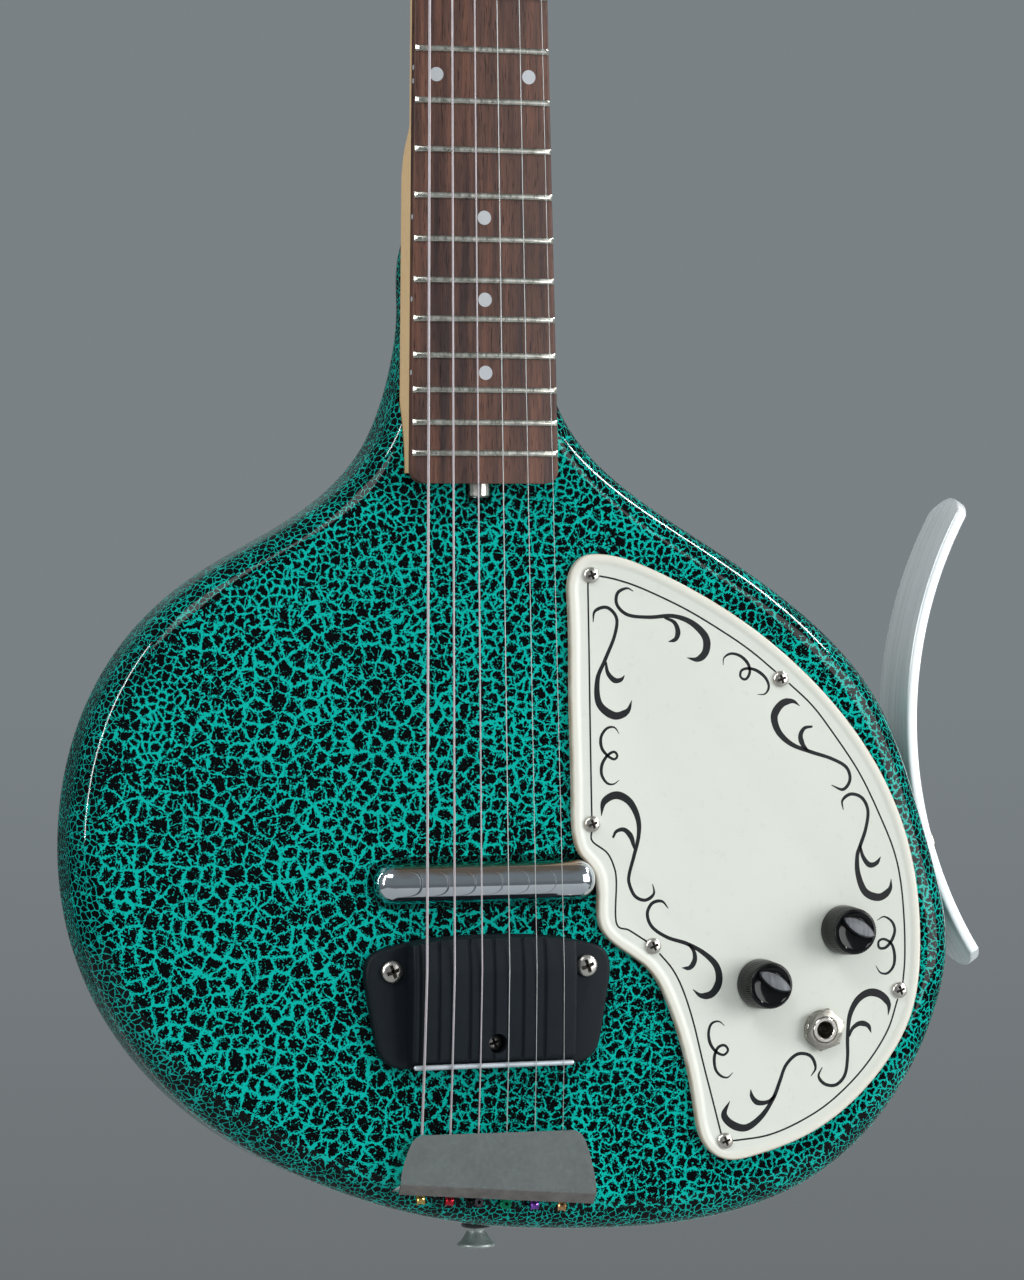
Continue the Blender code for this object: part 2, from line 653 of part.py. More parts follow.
def head_outline():
    """One side of the headstock from its root to its tip, then the other side back."""
    root_z = NUT_THICKNESS + HEAD_BLEND_LENGTH * 0.75
    span = NUT_THICKNESS + HEAD_LENGTH - root_z
    side = [(half_width(0) * 1.05, root_z)]
    side += [(HEAD_HALF_WIDTH * across, root_z + span * along) for across, along in HEAD_SIDE_SHARES]
    low, tip = [(0, root_z - 0.01 * span)], [(0, root_z + span)]
    return smooth_loop(side + tip + [(-x, z) for x, z in reversed(side)] + low, 3)


neck = lofted("neck", neck_rings())
head = prism("head", head_outline(), HEAD_DROP, HEAD_DROP + HEAD_THICKNESS)
combine(neck, [head], "UNION")

HEAD_BACK_Y = HEAD_DROP + HEAD_THICKNESS
posts = [
    (side, Vector((side * POST_OFFSET, 0, FIRST_POST_Z + POST_SPACING * row)))
    for side in (-1, 1) for row in range(POSTS_PER_SIDE)
]
post_holes = [
    rod(
        "hole", POST_RADIUS + RUNNING_GAP, spot - Vector((0, 5 * MM, 0)),
        spot + Vector((0, HEAD_BACK_Y + 5 * MM, 0)),
    ) for side, spot in posts
]
truss_top_z = -12 * MM
truss_channel = rod(
    "channel", TRUSS_ROD_RADIUS + GAP, (0, TRUSS_ROD_DEPTH, HEEL_END_Z - 5 * MM),
    (0, TRUSS_ROD_DEPTH, truss_top_z), SMALL_SIDES,
)
neck_screw_holes = [screw_hole(seat, BACK_OUT, NECK_SCREW) for seat in neck_seats]
combine(neck, [joined(post_holes + neck_screw_holes), truss_channel], "DIFFERENCE")
dress(neck, maple)

truss_rod = rod(
    "truss_rod", TRUSS_ROD_RADIUS, (0, TRUSS_ROD_DEPTH, HEEL_END_Z - TRUSS_NUT_LENGTH * 0.7),
    (0, TRUSS_ROD_DEPTH, truss_top_z - GAP), SMALL_SIDES,
)
dress(truss_rod, steel)


def truss_nut():
    """A round nut on the rod's end, with a cross hole for a bar."""
    bore = TRUSS_ROD_RADIUS + GAP
    profile = (
        (bore, 0), (TRUSS_NUT_RADIUS, 0), (TRUSS_NUT_RADIUS, TRUSS_NUT_LENGTH - 0.6 * MM),
        (TRUSS_NUT_RADIUS - 0.6 * MM, TRUSS_NUT_LENGTH), (bore, TRUSS_NUT_LENGTH),
    )
    seat = Vector((0, TRUSS_ROD_DEPTH, HEEL_END_Z - GAP))
    made = turned("truss_rod_nut", profile, facing(seat, (0, 0, -1)))
    return dress(made, nickel)


truss_nut()


# Fretboard with its frets, and the nut
BOARD_SHARES = (-0.96, -0.4, 0.4, 0.96)
FRET_SHARES = (-0.96, -0.5, 0.5, 0.96)
BOARD_EDGE_EASE = 1.2 * MM
FRET_SUNK = 0.6 * MM


def crown_y(x):
    """The fretboard's top at a distance from its middle."""
    sag = FRETBOARD_CROWN_RADIUS - math.sqrt(FRETBOARD_CROWN_RADIUS**2 - x**2)
    return sag - GAP - FRETBOARD_THICKNESS


def board_ring(z, width):
    edge_y = crown_y(width) + BOARD_EDGE_EASE
    top = [(width * share, crown_y(width * share), z) for share in BOARD_SHARES]
    return [(-width, -GAP, z), (-width, edge_y, z)] + top + [(width, edge_y, z), (width, -GAP, z)]


def board_rings():
    rings = [board_ring(0, half_width(0))]
    corner = FRETBOARD_END_ROUND
    for step in range(6):
        turn = math.pi / 2 * step / 5
        z = FRETBOARD_END_Z + corner * (1 - math.sin(turn))
        rings.append(board_ring(z, half_width(z) - corner * (1 - math.cos(turn))))
    return rings


def fret(number):
    """A half-round bar that follows the fretboard's crown."""
    z, half = fret_z(number), half_width(fret_z(number)) - FRET_INSET
    reach = FRET_WIDTH / 2
    rings = []
    for share in FRET_SHARES:
        x, y = half * share, crown_y(half * share)
        ring = [(x, y + FRET_SUNK, z - reach), (x, y + FRET_SUNK, z + reach)]
        for step in range(1, 4):
            turn = math.pi * step / 4
            ring.append((x, y - FRET_HEIGHT * math.sin(turn), z + reach * math.cos(turn)))
        rings.append(ring)
    return lofted("fret", rings)


fretboard = lofted("fretboard", board_rings())
combine(fretboard, [joined([fret(number) for number in range(1, FRET_COUNT + 1)])], "UNION")
dress(fretboard, rosewood)


def string_x(index, spread, middle=0.0):
    return middle + spread * (index / (len(STRING_RADII) - 1) - 0.5)


string_y_at_nut = FRET_TOP_Y - STRING_OVER_FIRST_FRET
nut_piece = block(
    "nut", (-NUT_WIDTH / 2, -NUT_HEIGHT, GAP), (NUT_WIDTH / 2, -GAP, GAP + NUT_THICKNESS)
)


def nut_slot(index, radius):
    """The tool for one string's slot, cut from the nut's top down to just under the string."""
    half = radius + RUNNING_GAP
    x, low_y = string_x(index, NUT_STRING_SPREAD), string_y_at_nut + radius + GAP
    low = (x - half, -NUT_HEIGHT - 1 * MM, -1 * MM)
    return block("slot", low, (x + half, low_y, NUT_THICKNESS + 1 * MM))


nut_slots = [nut_slot(index, radius) for index, radius in enumerate(STRING_RADII)]
combine(nut_piece, [joined(nut_slots)], "DIFFERENCE")
dress(nut_piece, bone)

for number, seat in enumerate(neck_seats, 1):
    wood_screw(f"neck_screw_{number}", seat, BACK_OUT, NECK_SCREW, nickel)


# Tuners: a plate on each side, a worm on each key, a wheel on each post
WORM_PITCH = 2 * math.pi * WHEEL_PITCH_RADIUS / WHEEL_TEETH
WHEEL_PITCH = 2 * math.pi * WHEEL_ROOT_RADIUS / WHEEL_TEETH
GEAR_DISTANCE = WHEEL_RADIUS + WORM_CORE_RADIUS + GAP
PLATE_FRONT_Y = HEAD_BACK_Y + GAP
PLATE_BACK_Y = PLATE_FRONT_Y + TUNER_PLATE_THICKNESS
WORM_Y = PLATE_BACK_Y + WORM_RADIUS + 2 * GAP
LUG_TOP_BELOW_POST = GEAR_DISTANCE - LUG_WIDTH / 2
LUG_INNER = math.sqrt((WHEEL_RADIUS + GAP) ** 2 - LUG_TOP_BELOW_POST ** 2) + RUNNING_GAP
WORM_LENGTH = 2 * (LUG_INNER - RUNNING_GAP)


def mirrored(part, side):
    """The part's mesh turned into its mirror image across X where it belongs on the left."""
    if side < 0:
        part.data.transform(Matrix.Diagonal((-1, 1, 1, 1)))
        part.data.flip_normals()
    return part


def worm_thread():
    """The thread, swept along a helix about X, its groove facing the wheel's middle tooth."""
    root = WORM_CORE_RADIUS - 0.4 * MM
    section = (
        (root, -THREAD_ROOT_HALF), (WORM_RADIUS, -THREAD_TOP_HALF), (WORM_RADIUS, THREAD_TOP_HALF),
        (root, THREAD_ROOT_HALF),
    )
    steps = WORM_SIDES * WORM_TURNS
    rings = []
    for step in range(steps + 1):
        turns = (step - steps / 2) / WORM_SIDES
        angle = 2 * math.pi * turns - math.pi / 2
        rings.append([
            (WORM_PITCH * turns + offset, radius * math.cos(angle), radius * math.sin(angle))
            for radius, offset in section
        ])
    return lofted("thread", rings)


def key_button(start):
    """The flat finger grip on the key's end, wider in its middle than at its ends."""
    rings = []
    for share, height, thick in (
        (0, 0.3, 0.55), (0.12, 0.7, 0.85), (0.5, 1, 1), (0.85, 0.8, 0.85), (1, 0.4, 0.5),
    ):
        ring = []
        for step in range(8):
            turn = 2 * math.pi * step / 8
            ring.append((
                start + KEY_LENGTH * share, KEY_THICKNESS / 2 * thick * math.cos(turn),
                KEY_HEIGHT / 2 * height * math.sin(turn),
            ))
        rings.append(ring)
    return lofted("grip", rings)


def tuner_key(name, side, spot):
    """Shaft, worm and grip in one, with its origin on its own axis."""
    inner = -LUG_INNER - LUG_THICKNESS - 1 * MM
    grip_start = HEAD_HALF_WIDTH - POST_OFFSET + KEY_CLEAR_OF_HEAD
    outer = grip_start + 1.5 * MM
    journal, core = TUNER_SHAFT_RADIUS, WORM_CORE_RADIUS
    half = WORM_LENGTH / 2
    profile = (
        (0, inner), (journal, inner), (journal, -half), (core, -half), (core, half), (journal, half),
        (journal, outer), (0, outer),
    )
    half_side = Matrix.Rotation(math.pi / WORM_SIDES, 4, "Z")
    made = turned(name, profile, facing((0, 0, 0), (1, 0, 0)) @ half_side, WORM_SIDES)
    made.data.transform(made.matrix_world)
    made.matrix_world = Matrix.Identity(4)
    combine(made, [worm_thread(), key_button(grip_start)], "UNION")
    mirrored(made, side)
    made.location = spot + Vector((0, WORM_Y, -GEAR_DISTANCE))
    return dress(made, nickel)


def tooth_outline():
    """The wheel's outline, its middle tooth pointing down to the worm."""
    points = []
    for tooth in range(WHEEL_TEETH):
        middle = -math.pi / 2 + 2 * math.pi * tooth / WHEEL_TEETH
        for radius, offset in (
            (WHEEL_ROOT_RADIUS, -WHEEL_PITCH / 2), (WHEEL_RADIUS, -TOOTH_TIP_WIDTH / 2),
            (WHEEL_RADIUS, TOOTH_TIP_WIDTH / 2),
        ):
            angle = middle + offset / radius
            points.append((radius * math.cos(angle), radius * math.sin(angle)))
    return points


def tuner_post(name, spot):
    """The string post with its toothed wheel, turning about Y."""
    top = HEAD_DROP - POST_HEIGHT
    end = WORM_Y + WHEEL_THICKNESS / 2 + 1 * MM
    profile = (
        (0, top), (POST_CAP_RADIUS * 0.8, top), (POST_CAP_RADIUS, top + 0.5 * MM),
        (POST_CAP_RADIUS, top + 1.3 * MM), (POST_RADIUS, top + 2 * MM), (POST_RADIUS, end), (0, end),
    )
    made = turned(name, profile, facing((0, 0, 0), (0, 1, 0)), 12)
    made.data.transform(made.matrix_world)
    made.matrix_world = Matrix.Identity(4)
    wheel = prism("wheel", tooth_outline(), WORM_Y - WHEEL_THICKNESS / 2, WORM_Y + WHEEL_THICKNESS / 2)
    combine(made, [wheel], "UNION")
    made.location = spot
    return dress(made, nickel)


def tuner_plate(name, side):
    """A strip behind the headstock with a pair of drilled lugs for each key."""
    low_z = FIRST_POST_Z - TUNER_PLATE_MARGIN
    high_z = FIRST_POST_Z + POST_SPACING * (POSTS_PER_SIDE - 1) + TUNER_PLATE_MARGIN * 0.7
    half = TUNER_PLATE_WIDTH / 2
    made = block(
        name, (POST_OFFSET - half, PLATE_FRONT_Y, low_z), (POST_OFFSET + half, PLATE_BACK_Y, high_z)
    )
    lugs, holes = [], []
    for row in range(POSTS_PER_SIDE):
        post_z = FIRST_POST_Z + POST_SPACING * row
        key_z = post_z - GEAR_DISTANCE
        for end in (-1, 1):
            reach = LUG_INNER, LUG_INNER + LUG_THICKNESS
            near, far = sorted(POST_OFFSET + end * distance for distance in reach)
            lugs.append(block(
                "lug", (near, PLATE_BACK_Y - 0.5 * MM, key_z - LUG_WIDTH / 2),
                (far, WORM_Y + LUG_WIDTH / 2, key_z + LUG_WIDTH / 2),
            ))
        past = LUG_INNER + LUG_THICKNESS + 1 * MM
        holes.append(rod(
            "bore", TUNER_SHAFT_RADIUS + RUNNING_GAP, (POST_OFFSET - past, WORM_Y, key_z),
            (POST_OFFSET + past, WORM_Y, key_z), SMALL_SIDES,
        ))
        holes.append(rod(
            "bore", POST_RADIUS + RUNNING_GAP, (POST_OFFSET, 0, post_z),
            (POST_OFFSET, PLATE_BACK_Y + 0.4 * MM, post_z),
        ))
    combine(made, [joined(lugs)], "UNION")
    combine(made, [joined(holes)], "DIFFERENCE")
    return dress(mirrored(made, side), nickel)


for side, name in ((-1, "bass"), (1, "treble")):
    tuner_plate(f"tuner_plate_{name}", side)


def string_post(index):
    """The side and post of a string: the outer strings go to the posts next to the nut."""
    if index < POSTS_PER_SIDE:
        return posts[index]
    return posts[2 * POSTS_PER_SIDE - 1 - (index - POSTS_PER_SIDE)]


for index in range(len(STRING_RADII)):
    side, spot = string_post(index)
    tuner_key(f"tuner_key_{index + 1}", side, spot)
    tuner_post(f"tuner_post_{index + 1}", spot)


# Pickguard and its screws
guard_front_y = FACE_Y - GAP - GUARD_THICKNESS
guard_back_y = FACE_Y - GAP
guard_loop = smooth_loop(on_body(GUARD_OUTLINE), 2)


def guard_rings():
    rim_y = guard_front_y - GUARD_RIM_RISE
    return rings_at(guard_loop, (
        (0, guard_back_y), (0, rim_y + GUARD_BEVEL), (GUARD_BEVEL, rim_y),
        (GUARD_RIM_WIDTH, rim_y), (GUARD_RIM_WIDTH + GUARD_RIM_RISE, guard_front_y),
    ))


def guard_hole(spot, radius, sides=ROUND_SIDES):
    x, z = on_body((spot,))[0]
    return rod("hole", radius, (x, guard_back_y + 2 * MM, z), (x, guard_front_y - 2 * MM, z), sides)


guard_holes = [guard_hole(spot, GUARD_SCREW[2] + GAP, SMALL_SIDES) for spot in GUARD_SCREW_PLACES]
guard_holes += [guard_hole(spot, POT_BUSHING_RADIUS + GAP) for spot in KNOB_PLACES.values()]
guard_holes.append(guard_hole(JACK_PLACE, JACK_BUSHING_RADIUS + GAP))
pickguard = lofted("pickguard", guard_rings())
combine(pickguard, [joined(guard_holes)], "DIFFERENCE")
dress(pickguard, cream)
for number, seat in enumerate(guard_screw_seats, 1):
    wood_screw(f"pickguard_screw_{number}", seat, FACE_OUT, GUARD_SCREW, nickel)


# Volume and tone controls: a can with its bushing, a turning shaft, a knob
def control_pot(name, spot):
    front = guard_back_y + GAP
    profile = (
        (POT_SHAFT_RADIUS + GAP, -POT_BUSHING_STAND - GUARD_THICKNESS - GAP),
        (POT_BUSHING_RADIUS, -POT_BUSHING_STAND - GUARD_THICKNESS - GAP), (POT_BUSHING_RADIUS, 0),
        (POT_RADIUS, 0), (POT_RADIUS, POT_DEPTH), (POT_SHAFT_RADIUS + GAP, POT_DEPTH),
    )
    place = facing(place_on(front, spot), BACK_OUT)
    return dress(turned(name, profile, place), steel)


def control_shaft(name, spot):
    """The shaft runs from the can's back to inside the knob; its origin is on its axis."""
    place = facing(place_on(guard_front_y, spot), FACE_OUT)
    back = GUARD_THICKNESS + 2 * GAP + POT_DEPTH * 0.8
    profile = ((0, -back), (POT_SHAFT_RADIUS, -back), (POT_SHAFT_RADIUS, SHAFT_STAND), (0, SHAFT_STAND))
    return dress(turned(name, profile, place, 16), steel)


def control_knob(name, spot):
    """A tapered knob, hollow underneath round the bushing, with a pointer ridge across its top."""
    low, bore = 2 * GAP, POT_SHAFT_RADIUS + GAP
    hollow, hollow_top = POT_BUSHING_RADIUS + 3 * GAP, POT_BUSHING_STAND + 3 * GAP
    top = KNOB_HEIGHT
    ease = 0.8 * MM
    profile = (
        (hollow, low), (KNOB_BASE_RADIUS, low), (KNOB_TOP_RADIUS, top - ease),
        (KNOB_TOP_RADIUS - ease, top), (0, top), (0, SHAFT_STAND + GAP), (bore, SHAFT_STAND + GAP),
        (bore, hollow_top), (hollow, hollow_top),
    )
    place = facing(place_on(guard_front_y, spot), FACE_OUT)
    made = turned(name, profile, place, 20)
    half, low_ridge, high_ridge = KNOB_RIDGE_WIDTH / 2, top - 1 * MM, top + KNOB_RIDGE_HEIGHT
    reach = KNOB_TOP_RADIUS - 1.2 * MM
    rings = []
    for along in (-reach, reach):
        high_along, high_half = along * 0.97, half * 0.55
        rings.append([
            (along, -half, low_ridge), (along, half, low_ridge),
            (high_along, high_half, high_ridge), (high_along, -high_half, high_ridge),
        ])
    turn = Matrix.Rotation(math.radians(KNOB_RIDGE_ANGLE), 4, "Z")
    combine(made, [lofted("ridge", rings, place @ turn)], "UNION")
    return dress(made, black_plastic)


for name, spot in KNOB_PLACES.items():
    control_pot(f"{name}_pot", spot)
    control_shaft(f"{name}_shaft", spot)
    control_knob(f"{name}_knob", spot)


# Output jack and its nut
def output_jack():
    """Threaded bushing through the guard with the socket bored into it."""
    thread_top = GUARD_THICKNESS + GAP + JACK_WASHER_THICKNESS + JACK_NUT_THICKNESS + JACK_THREAD_STAND
    depth = JACK_BODY_LENGTH
    bore_end = depth - 1.5 * MM
    profile = (
        (0, depth), (JACK_BODY_RADIUS, depth), (JACK_BODY_RADIUS, 0), (JACK_BUSHING_RADIUS, 0),
        (JACK_BUSHING_RADIUS, -thread_top), (JACK_BORE_RADIUS, -thread_top),
        (JACK_BORE_RADIUS, bore_end), (0, bore_end),
    )
    place = facing(place_on(guard_back_y + GAP, JACK_PLACE), BACK_OUT)
    return dress(turned("output_jack", profile, place), nickel)


def jack_nut():
    """A six-sided nut on its washer."""
    seat = place_on(guard_front_y - GAP, JACK_PLACE)
    bore, washer = JACK_BUSHING_RADIUS + GAP, JACK_WASHER_THICKNESS
    profile = ((bore, 0), (JACK_WASHER_RADIUS, 0), (JACK_WASHER_RADIUS, washer), (bore, washer))
    made = turned("jack_nut", profile, facing(seat, FACE_OUT))
    top = washer + JACK_NUT_THICKNESS
    corners = [math.radians(JACK_NUT_TURN + 60 * side) for side in range(6)]
    rings = []
    for height, radius in (
        (washer * 0.5, JACK_NUT_RADIUS), (top - 0.4 * MM, JACK_NUT_RADIUS), (top, JACK_NUT_RADIUS * 0.93),
    ):
        rings.append([
            (seat.x + radius * math.cos(corner), seat.y - height, seat.z + radius * math.sin(corner))
            for corner in corners
        ])
    combine(made, [lofted("nut", rings)], "UNION")
    hole = rod("hole", bore, seat + Vector((0, 1 * MM, 0)), seat - Vector((0, top + 1 * MM, 0)))
    combine(made, [hole], "DIFFERENCE")
    return dress(made, nickel)


output_jack()
jack_nut()


# Pickup: a capsule open along its back, with its coil and magnet inside
pickup_cover = capsule("pickup_cover", PICKUP_LENGTH, PICKUP_RADIUS)
hollow = capsule("hollow", PICKUP_LENGTH - 2 * PICKUP_WALL, PICKUP_RADIUS - PICKUP_WALL)
back_half = PICKUP_LENGTH / 2 - 1.2 * PICKUP_RADIUS
back_slot = block(
    "back", (PICKUP_X - back_half, pickup_y, pickup_z - PICKUP_BACK_SLOT_WIDTH / 2),
    (PICKUP_X + back_half, pickup_y + PICKUP_RADIUS + 1 * MM, pickup_z + PICKUP_BACK_SLOT_WIDTH / 2),
)
combine(pickup_cover, [hollow, back_slot], "DIFFERENCE")
dress(pickup_cover, chrome)
core_inset = PICKUP_WALL + GAP
dress(capsule("pickup_core", PICKUP_LENGTH - 2 * core_inset, PICKUP_RADIUS - core_inset), black_plastic)


# Bridge: a plate with a raised, grooved middle, and the strip along its lower edge
def bridge_outline():
    right = list(BRIDGE_HALF_OUTLINE)
    return smooth_loop(on_body(right + [(-x, z) for x, z in reversed(right[1:])], BRIDGE_X), 2)


def bridge_block():
    """The raised middle: it climbs from the neck side to the crest and sinks slowly behind it."""
    rings = []
    for z, height in BRIDGE_BLOCK_PROFILE:
        half = BRIDGE_BLOCK_HALF_WIDTH
        slope = 1.5 * MM
        y = FACE_Y - height * MM
        low_y = FACE_Y - GAP - 1 * MM
        real_z = BRIDGE_Z + z * MM
        rings.append([
            (BRIDGE_X - half - slope, low_y, real_z), (BRIDGE_X + half + slope, low_y, real_z),
            (BRIDGE_X + half, y + 0.8 * MM, real_z), (BRIDGE_X + half - 0.8 * MM, y, real_z),
            (BRIDGE_X - half + 0.8 * MM, y, real_z), (BRIDGE_X - half, y + 0.8 * MM, real_z),
        ])
    return lofted("block", rings)


def bridge_grooves():
    tools = []
    for place in BRIDGE_GROOVE_PLACES:
        x, half = BRIDGE_X + place * MM, BRIDGE_GROOVE_WIDTH / 2
        rings = []
        for z, height in (BRIDGE_GROOVE_RUN_IN, *BRIDGE_BLOCK_PROFILE, BRIDGE_GROOVE_RUN_OUT):
            floor_y = FACE_Y - height * MM + BRIDGE_GROOVE_DEPTH
            real_z = BRIDGE_Z + z * MM
            rings.append([
                (x - half, floor_y, real_z), (x + half, floor_y, real_z),
                (x + half, floor_y - 4 * MM, real_z), (x - half, floor_y - 4 * MM, real_z),
            ])
        tools.append(lofted("groove", rings))
    return joined(tools)


def bridge_plate_rings():
    return rings_at(bridge_outline(), (
        (0, FACE_Y - GAP), (0, bridge_seat_y + 1.5 * MM), (0.5 * MM, bridge_seat_y + 0.5 * MM),
        (1.6 * MM, bridge_seat_y),
    ))


strip_top_y = FACE_Y - BRIDGE_TAIL_HEIGHT * MM + STRIP_BELOW_BLOCK
strip_high_z = BRIDGE_Z + BRIDGE_BLOCK_PROFILE[-1][0] * MM - GAP
strip_low_z = strip_high_z - STRIP_THICKNESS
strip_half = BRIDGE_BLOCK_HALF_WIDTH
bridge_plate = lofted("bridge_plate", bridge_plate_rings())
combine(bridge_plate, [bridge_block()], "UNION")
sunk_x, sunk_z = bridge_sunk_seat.x, bridge_sunk_seat.z
sunk_head_room = rod(
    "room", SUNK_SCREW[0] + 2 * GAP, (sunk_x, bridge_seat_y, sunk_z),
    (sunk_x, bridge_seat_y - TOOL_REACH, sunk_z),
)
strip_room = block(
    "room", (BRIDGE_X - strip_half - GAP, strip_top_y - 2 * MM, strip_low_z - GAP),
    (BRIDGE_X + strip_half + GAP, strip_top_y + STRIP_HEIGHT + GAP, strip_high_z + GAP),
)
bridge_screw_holes = [screw_hole(seat, FACE_OUT, BRIDGE_SCREW) for seat in bridge_wing_seats]
bridge_screw_holes.append(screw_hole(bridge_sunk_seat, FACE_OUT, SUNK_SCREW))
combine(bridge_plate, [bridge_grooves(), sunk_head_room, strip_room], "DIFFERENCE")
combine(bridge_plate, [joined(bridge_screw_holes)], "DIFFERENCE")
dress(bridge_plate, black_bridge)
dress(block(
    "bridge_strip", (BRIDGE_X - strip_half, strip_top_y, strip_low_z),
    (BRIDGE_X + strip_half, strip_top_y + STRIP_HEIGHT, strip_high_z),
), steel)
for number, seat in enumerate(bridge_wing_seats, 1):
    wood_screw(f"bridge_screw_{number}", seat, FACE_OUT, BRIDGE_SCREW, nickel)
wood_screw("bridge_screw_3", bridge_sunk_seat, FACE_OUT, SUNK_SCREW, nickel)


# Tailpiece: a sheet cover, open towards the bridge, with the strings' holes in its lower flange
tail_front_y = FACE_Y - TAIL_HEIGHT


def tail_share(y):
    """How far a depth lies from the cover's front (0) to the edge at the face (1)."""
    return (y - tail_front_y) / (FACE_Y - GAP - tail_front_y)


def tail_outline(y, inwards=0.0):
    """The cover's outline at a depth, moved inwards by a distance; its lower edge is tilted."""
    share = tail_share(y)
    spread = TAIL_SKIRT_FLARE * share - inwards
    length = TAIL_LENGTH + TAIL_FLANGE_SLOPE * share - inwards
    outline = []
    for side, points in ((1, TAIL_SIDE), (-1, TAIL_SIDE[::-1])):
        for out, down in points:
            x = side * (TAIL_TOP_HALF_WIDTH + (TAIL_LOW_HALF_WIDTH - TAIL_TOP_HALF_WIDTH) * out + spread)
            tilt = TAIL_TILT * (0.1 + 0.9 * down)
            outline.append((TAIL_X + TAIL_COVER_SHIFT + x, tail_top_z - length * down - tilt * x))
    return outline


def tail_hollow(y):
    """The cover's inside, which runs out past the top edge."""
    outline, half = tail_outline(y, TAIL_SHEET), len(TAIL_SIDE) - 1
    right, left = outline[:half], outline[-half:]
    return right + [(x, tail_top_z + TAIL_LENGTH / 3) for x in (right[-1][0], left[0][0])] + left


def tail_mid_sheet(y):
    return tail_outline(y, TAIL_SHEET / 2)


def tail_shell(name, outline, front, back):
    return lofted(name, [[(x, y, z) for x, z in outline(y)] for y in (front, back)])


tailpiece = tail_shell("tailpiece", tail_outline, tail_front_y, FACE_Y - GAP)
tail_room = tail_shell("hollow", tail_hollow, tail_front_y + TAIL_SHEET, FACE_Y + 1 * MM)
combine(tailpiece, [tail_room], "DIFFERENCE")
tabs = []
for side, seat in zip((-1, 1), tail_seats):
    outer_x = TAIL_X + side * 1.2 * TAIL_LOW_HALF_WIDTH
    near, far = sorted((outer_x, seat.x - side * (TAIL_SCREW[0] + 1 * MM)))
    tabs.append(block(
        "tab", (near, seat.y, seat.z - TAIL_TAB_LENGTH / 2),
        (far, seat.y + TAIL_SHEET, seat.z + TAIL_TAB_LENGTH / 2),
    ))
    limit = tail_shell("limit", tail_mid_sheet, tail_front_y, FACE_Y - 1.5 * GAP)
    combine(tabs[-1], [limit], "INTERSECT")
combine(tailpiece, [joined(tabs)], "UNION")


# Strings: ball end, tailpiece hole, strip, bridge crest, nut, and the turns on the post
crest_y = FACE_Y - BRIDGE_CREST_HEIGHT * MM
tail_hole_y = FACE_Y - TAIL_HOLE_HEIGHT


def tail_low_z(x):
    slope = TAIL_FLANGE_SLOPE * tail_share(tail_hole_y)
    return tail_top_z - TAIL_LENGTH - slope - TAIL_TILT * (x - TAIL_X)


def ball_middle(x):
    """A ball end's middle, so far below the sloping flange that its rim just clears it."""
    slope = TAIL_FLANGE_SLOPE / (FACE_Y - GAP - tail_front_y)
    drop = GAP + BALL_RADIUS + slope * BALL_THICKNESS / 2 + TAIL_TILT * BALL_RADIUS
    return Vector((x, tail_hole_y, tail_low_z(x) - drop))


def string_route(index):
    """The points of one string from its ball end to the last turn on its post."""
    radius = STRING_RADII[index]
    lift = radius + GAP
    tail_x = string_x(index, TAIL_STRING_SPREAD, TAIL_X)
    strip_x = string_x(index, STRIP_STRING_SPREAD, STRING_STRIP_SHIFT)
    crest_share = SCALE_LENGTH / -strip_low_z
    nut_x = string_x(index, NUT_STRING_SPREAD)
    crest_x = nut_x + (strip_x - nut_x) * crest_share
    route = [
        ball_middle(tail_x) + Vector((0, 0, (BALL_RADIUS + BALL_BORE_RADIUS) / 2)),
        Vector((tail_x, tail_hole_y, tail_low_z(tail_x) + 3 * MM)),
        Vector((strip_x, strip_top_y - lift, (strip_low_z + strip_high_z) / 2)),
        Vector((crest_x, crest_y - lift, BRIDGE_Z)),
        Vector((nut_x, string_y_at_nut, 0)),
        Vector((nut_x, string_y_at_nut, GAP + NUT_THICKNESS)),
    ]
    side, spot = string_post(index)
    around = POST_RADIUS + GAP + radius
    pitch = 2 * radius + STRING_WRAP_GAP
    first_y = HEAD_DROP - POST_HEIGHT + 3 * MM + radius
    steps = int(STRING_WRAPS * WRAP_STEPS)
    for step in range(steps + 1):
        turn = math.pi - 2 * math.pi * step / WRAP_STEPS
        x, z = side * around * math.cos(turn), around * math.sin(turn)
        route.append(Vector((spot.x + x, first_y + pitch * step / WRAP_STEPS, spot.z + z)))
    return route


def least_gap(route, radius):
    """The least free space between a string's turns, from points that aren't neighbours."""
    turns = route[-int(STRING_WRAPS * WRAP_STEPS) - 1:]
    far = WRAP_STEPS // 2
    return min(
        (turns[i] - turns[j]).length - 2 * radius
        for i in range(len(turns)) for j in range(i + far, len(turns))
    )


def tube(name, route, radius):
    curve = bpy.data.curves.new(name, "CURVE")
    curve.dimensions = "3D"
    curve.bevel_depth = radius
    curve.bevel_resolution = 1
    curve.use_fill_caps = True
    curve.resolution_u = 1
    line = curve.splines.new("POLY")
    line.points.add(len(route) - 1)
    for point, place in zip(line.points, route):
        point.co = (*place, 1)
    made = bpy.data.objects.new(name, curve)
    bpy.context.scene.collection.objects.link(made)
    mesh = evaluated_mesh(made)
    bpy.data.objects.remove(made)
    solid = bpy.data.objects.new(name, mesh)
    bpy.context.scene.collection.objects.link(solid)
    return solid


def ball_end(x):
    """A short ring across the string, just outside the flange."""
    half = BALL_THICKNESS / 2
    profile = (
        (BALL_BORE_RADIUS, -half), (BALL_RADIUS, -half), (BALL_RADIUS, half), (BALL_BORE_RADIUS, half),
    )
    return turned("ball", profile, facing(ball_middle(x), FACE_OUT), SMALL_SIDES)


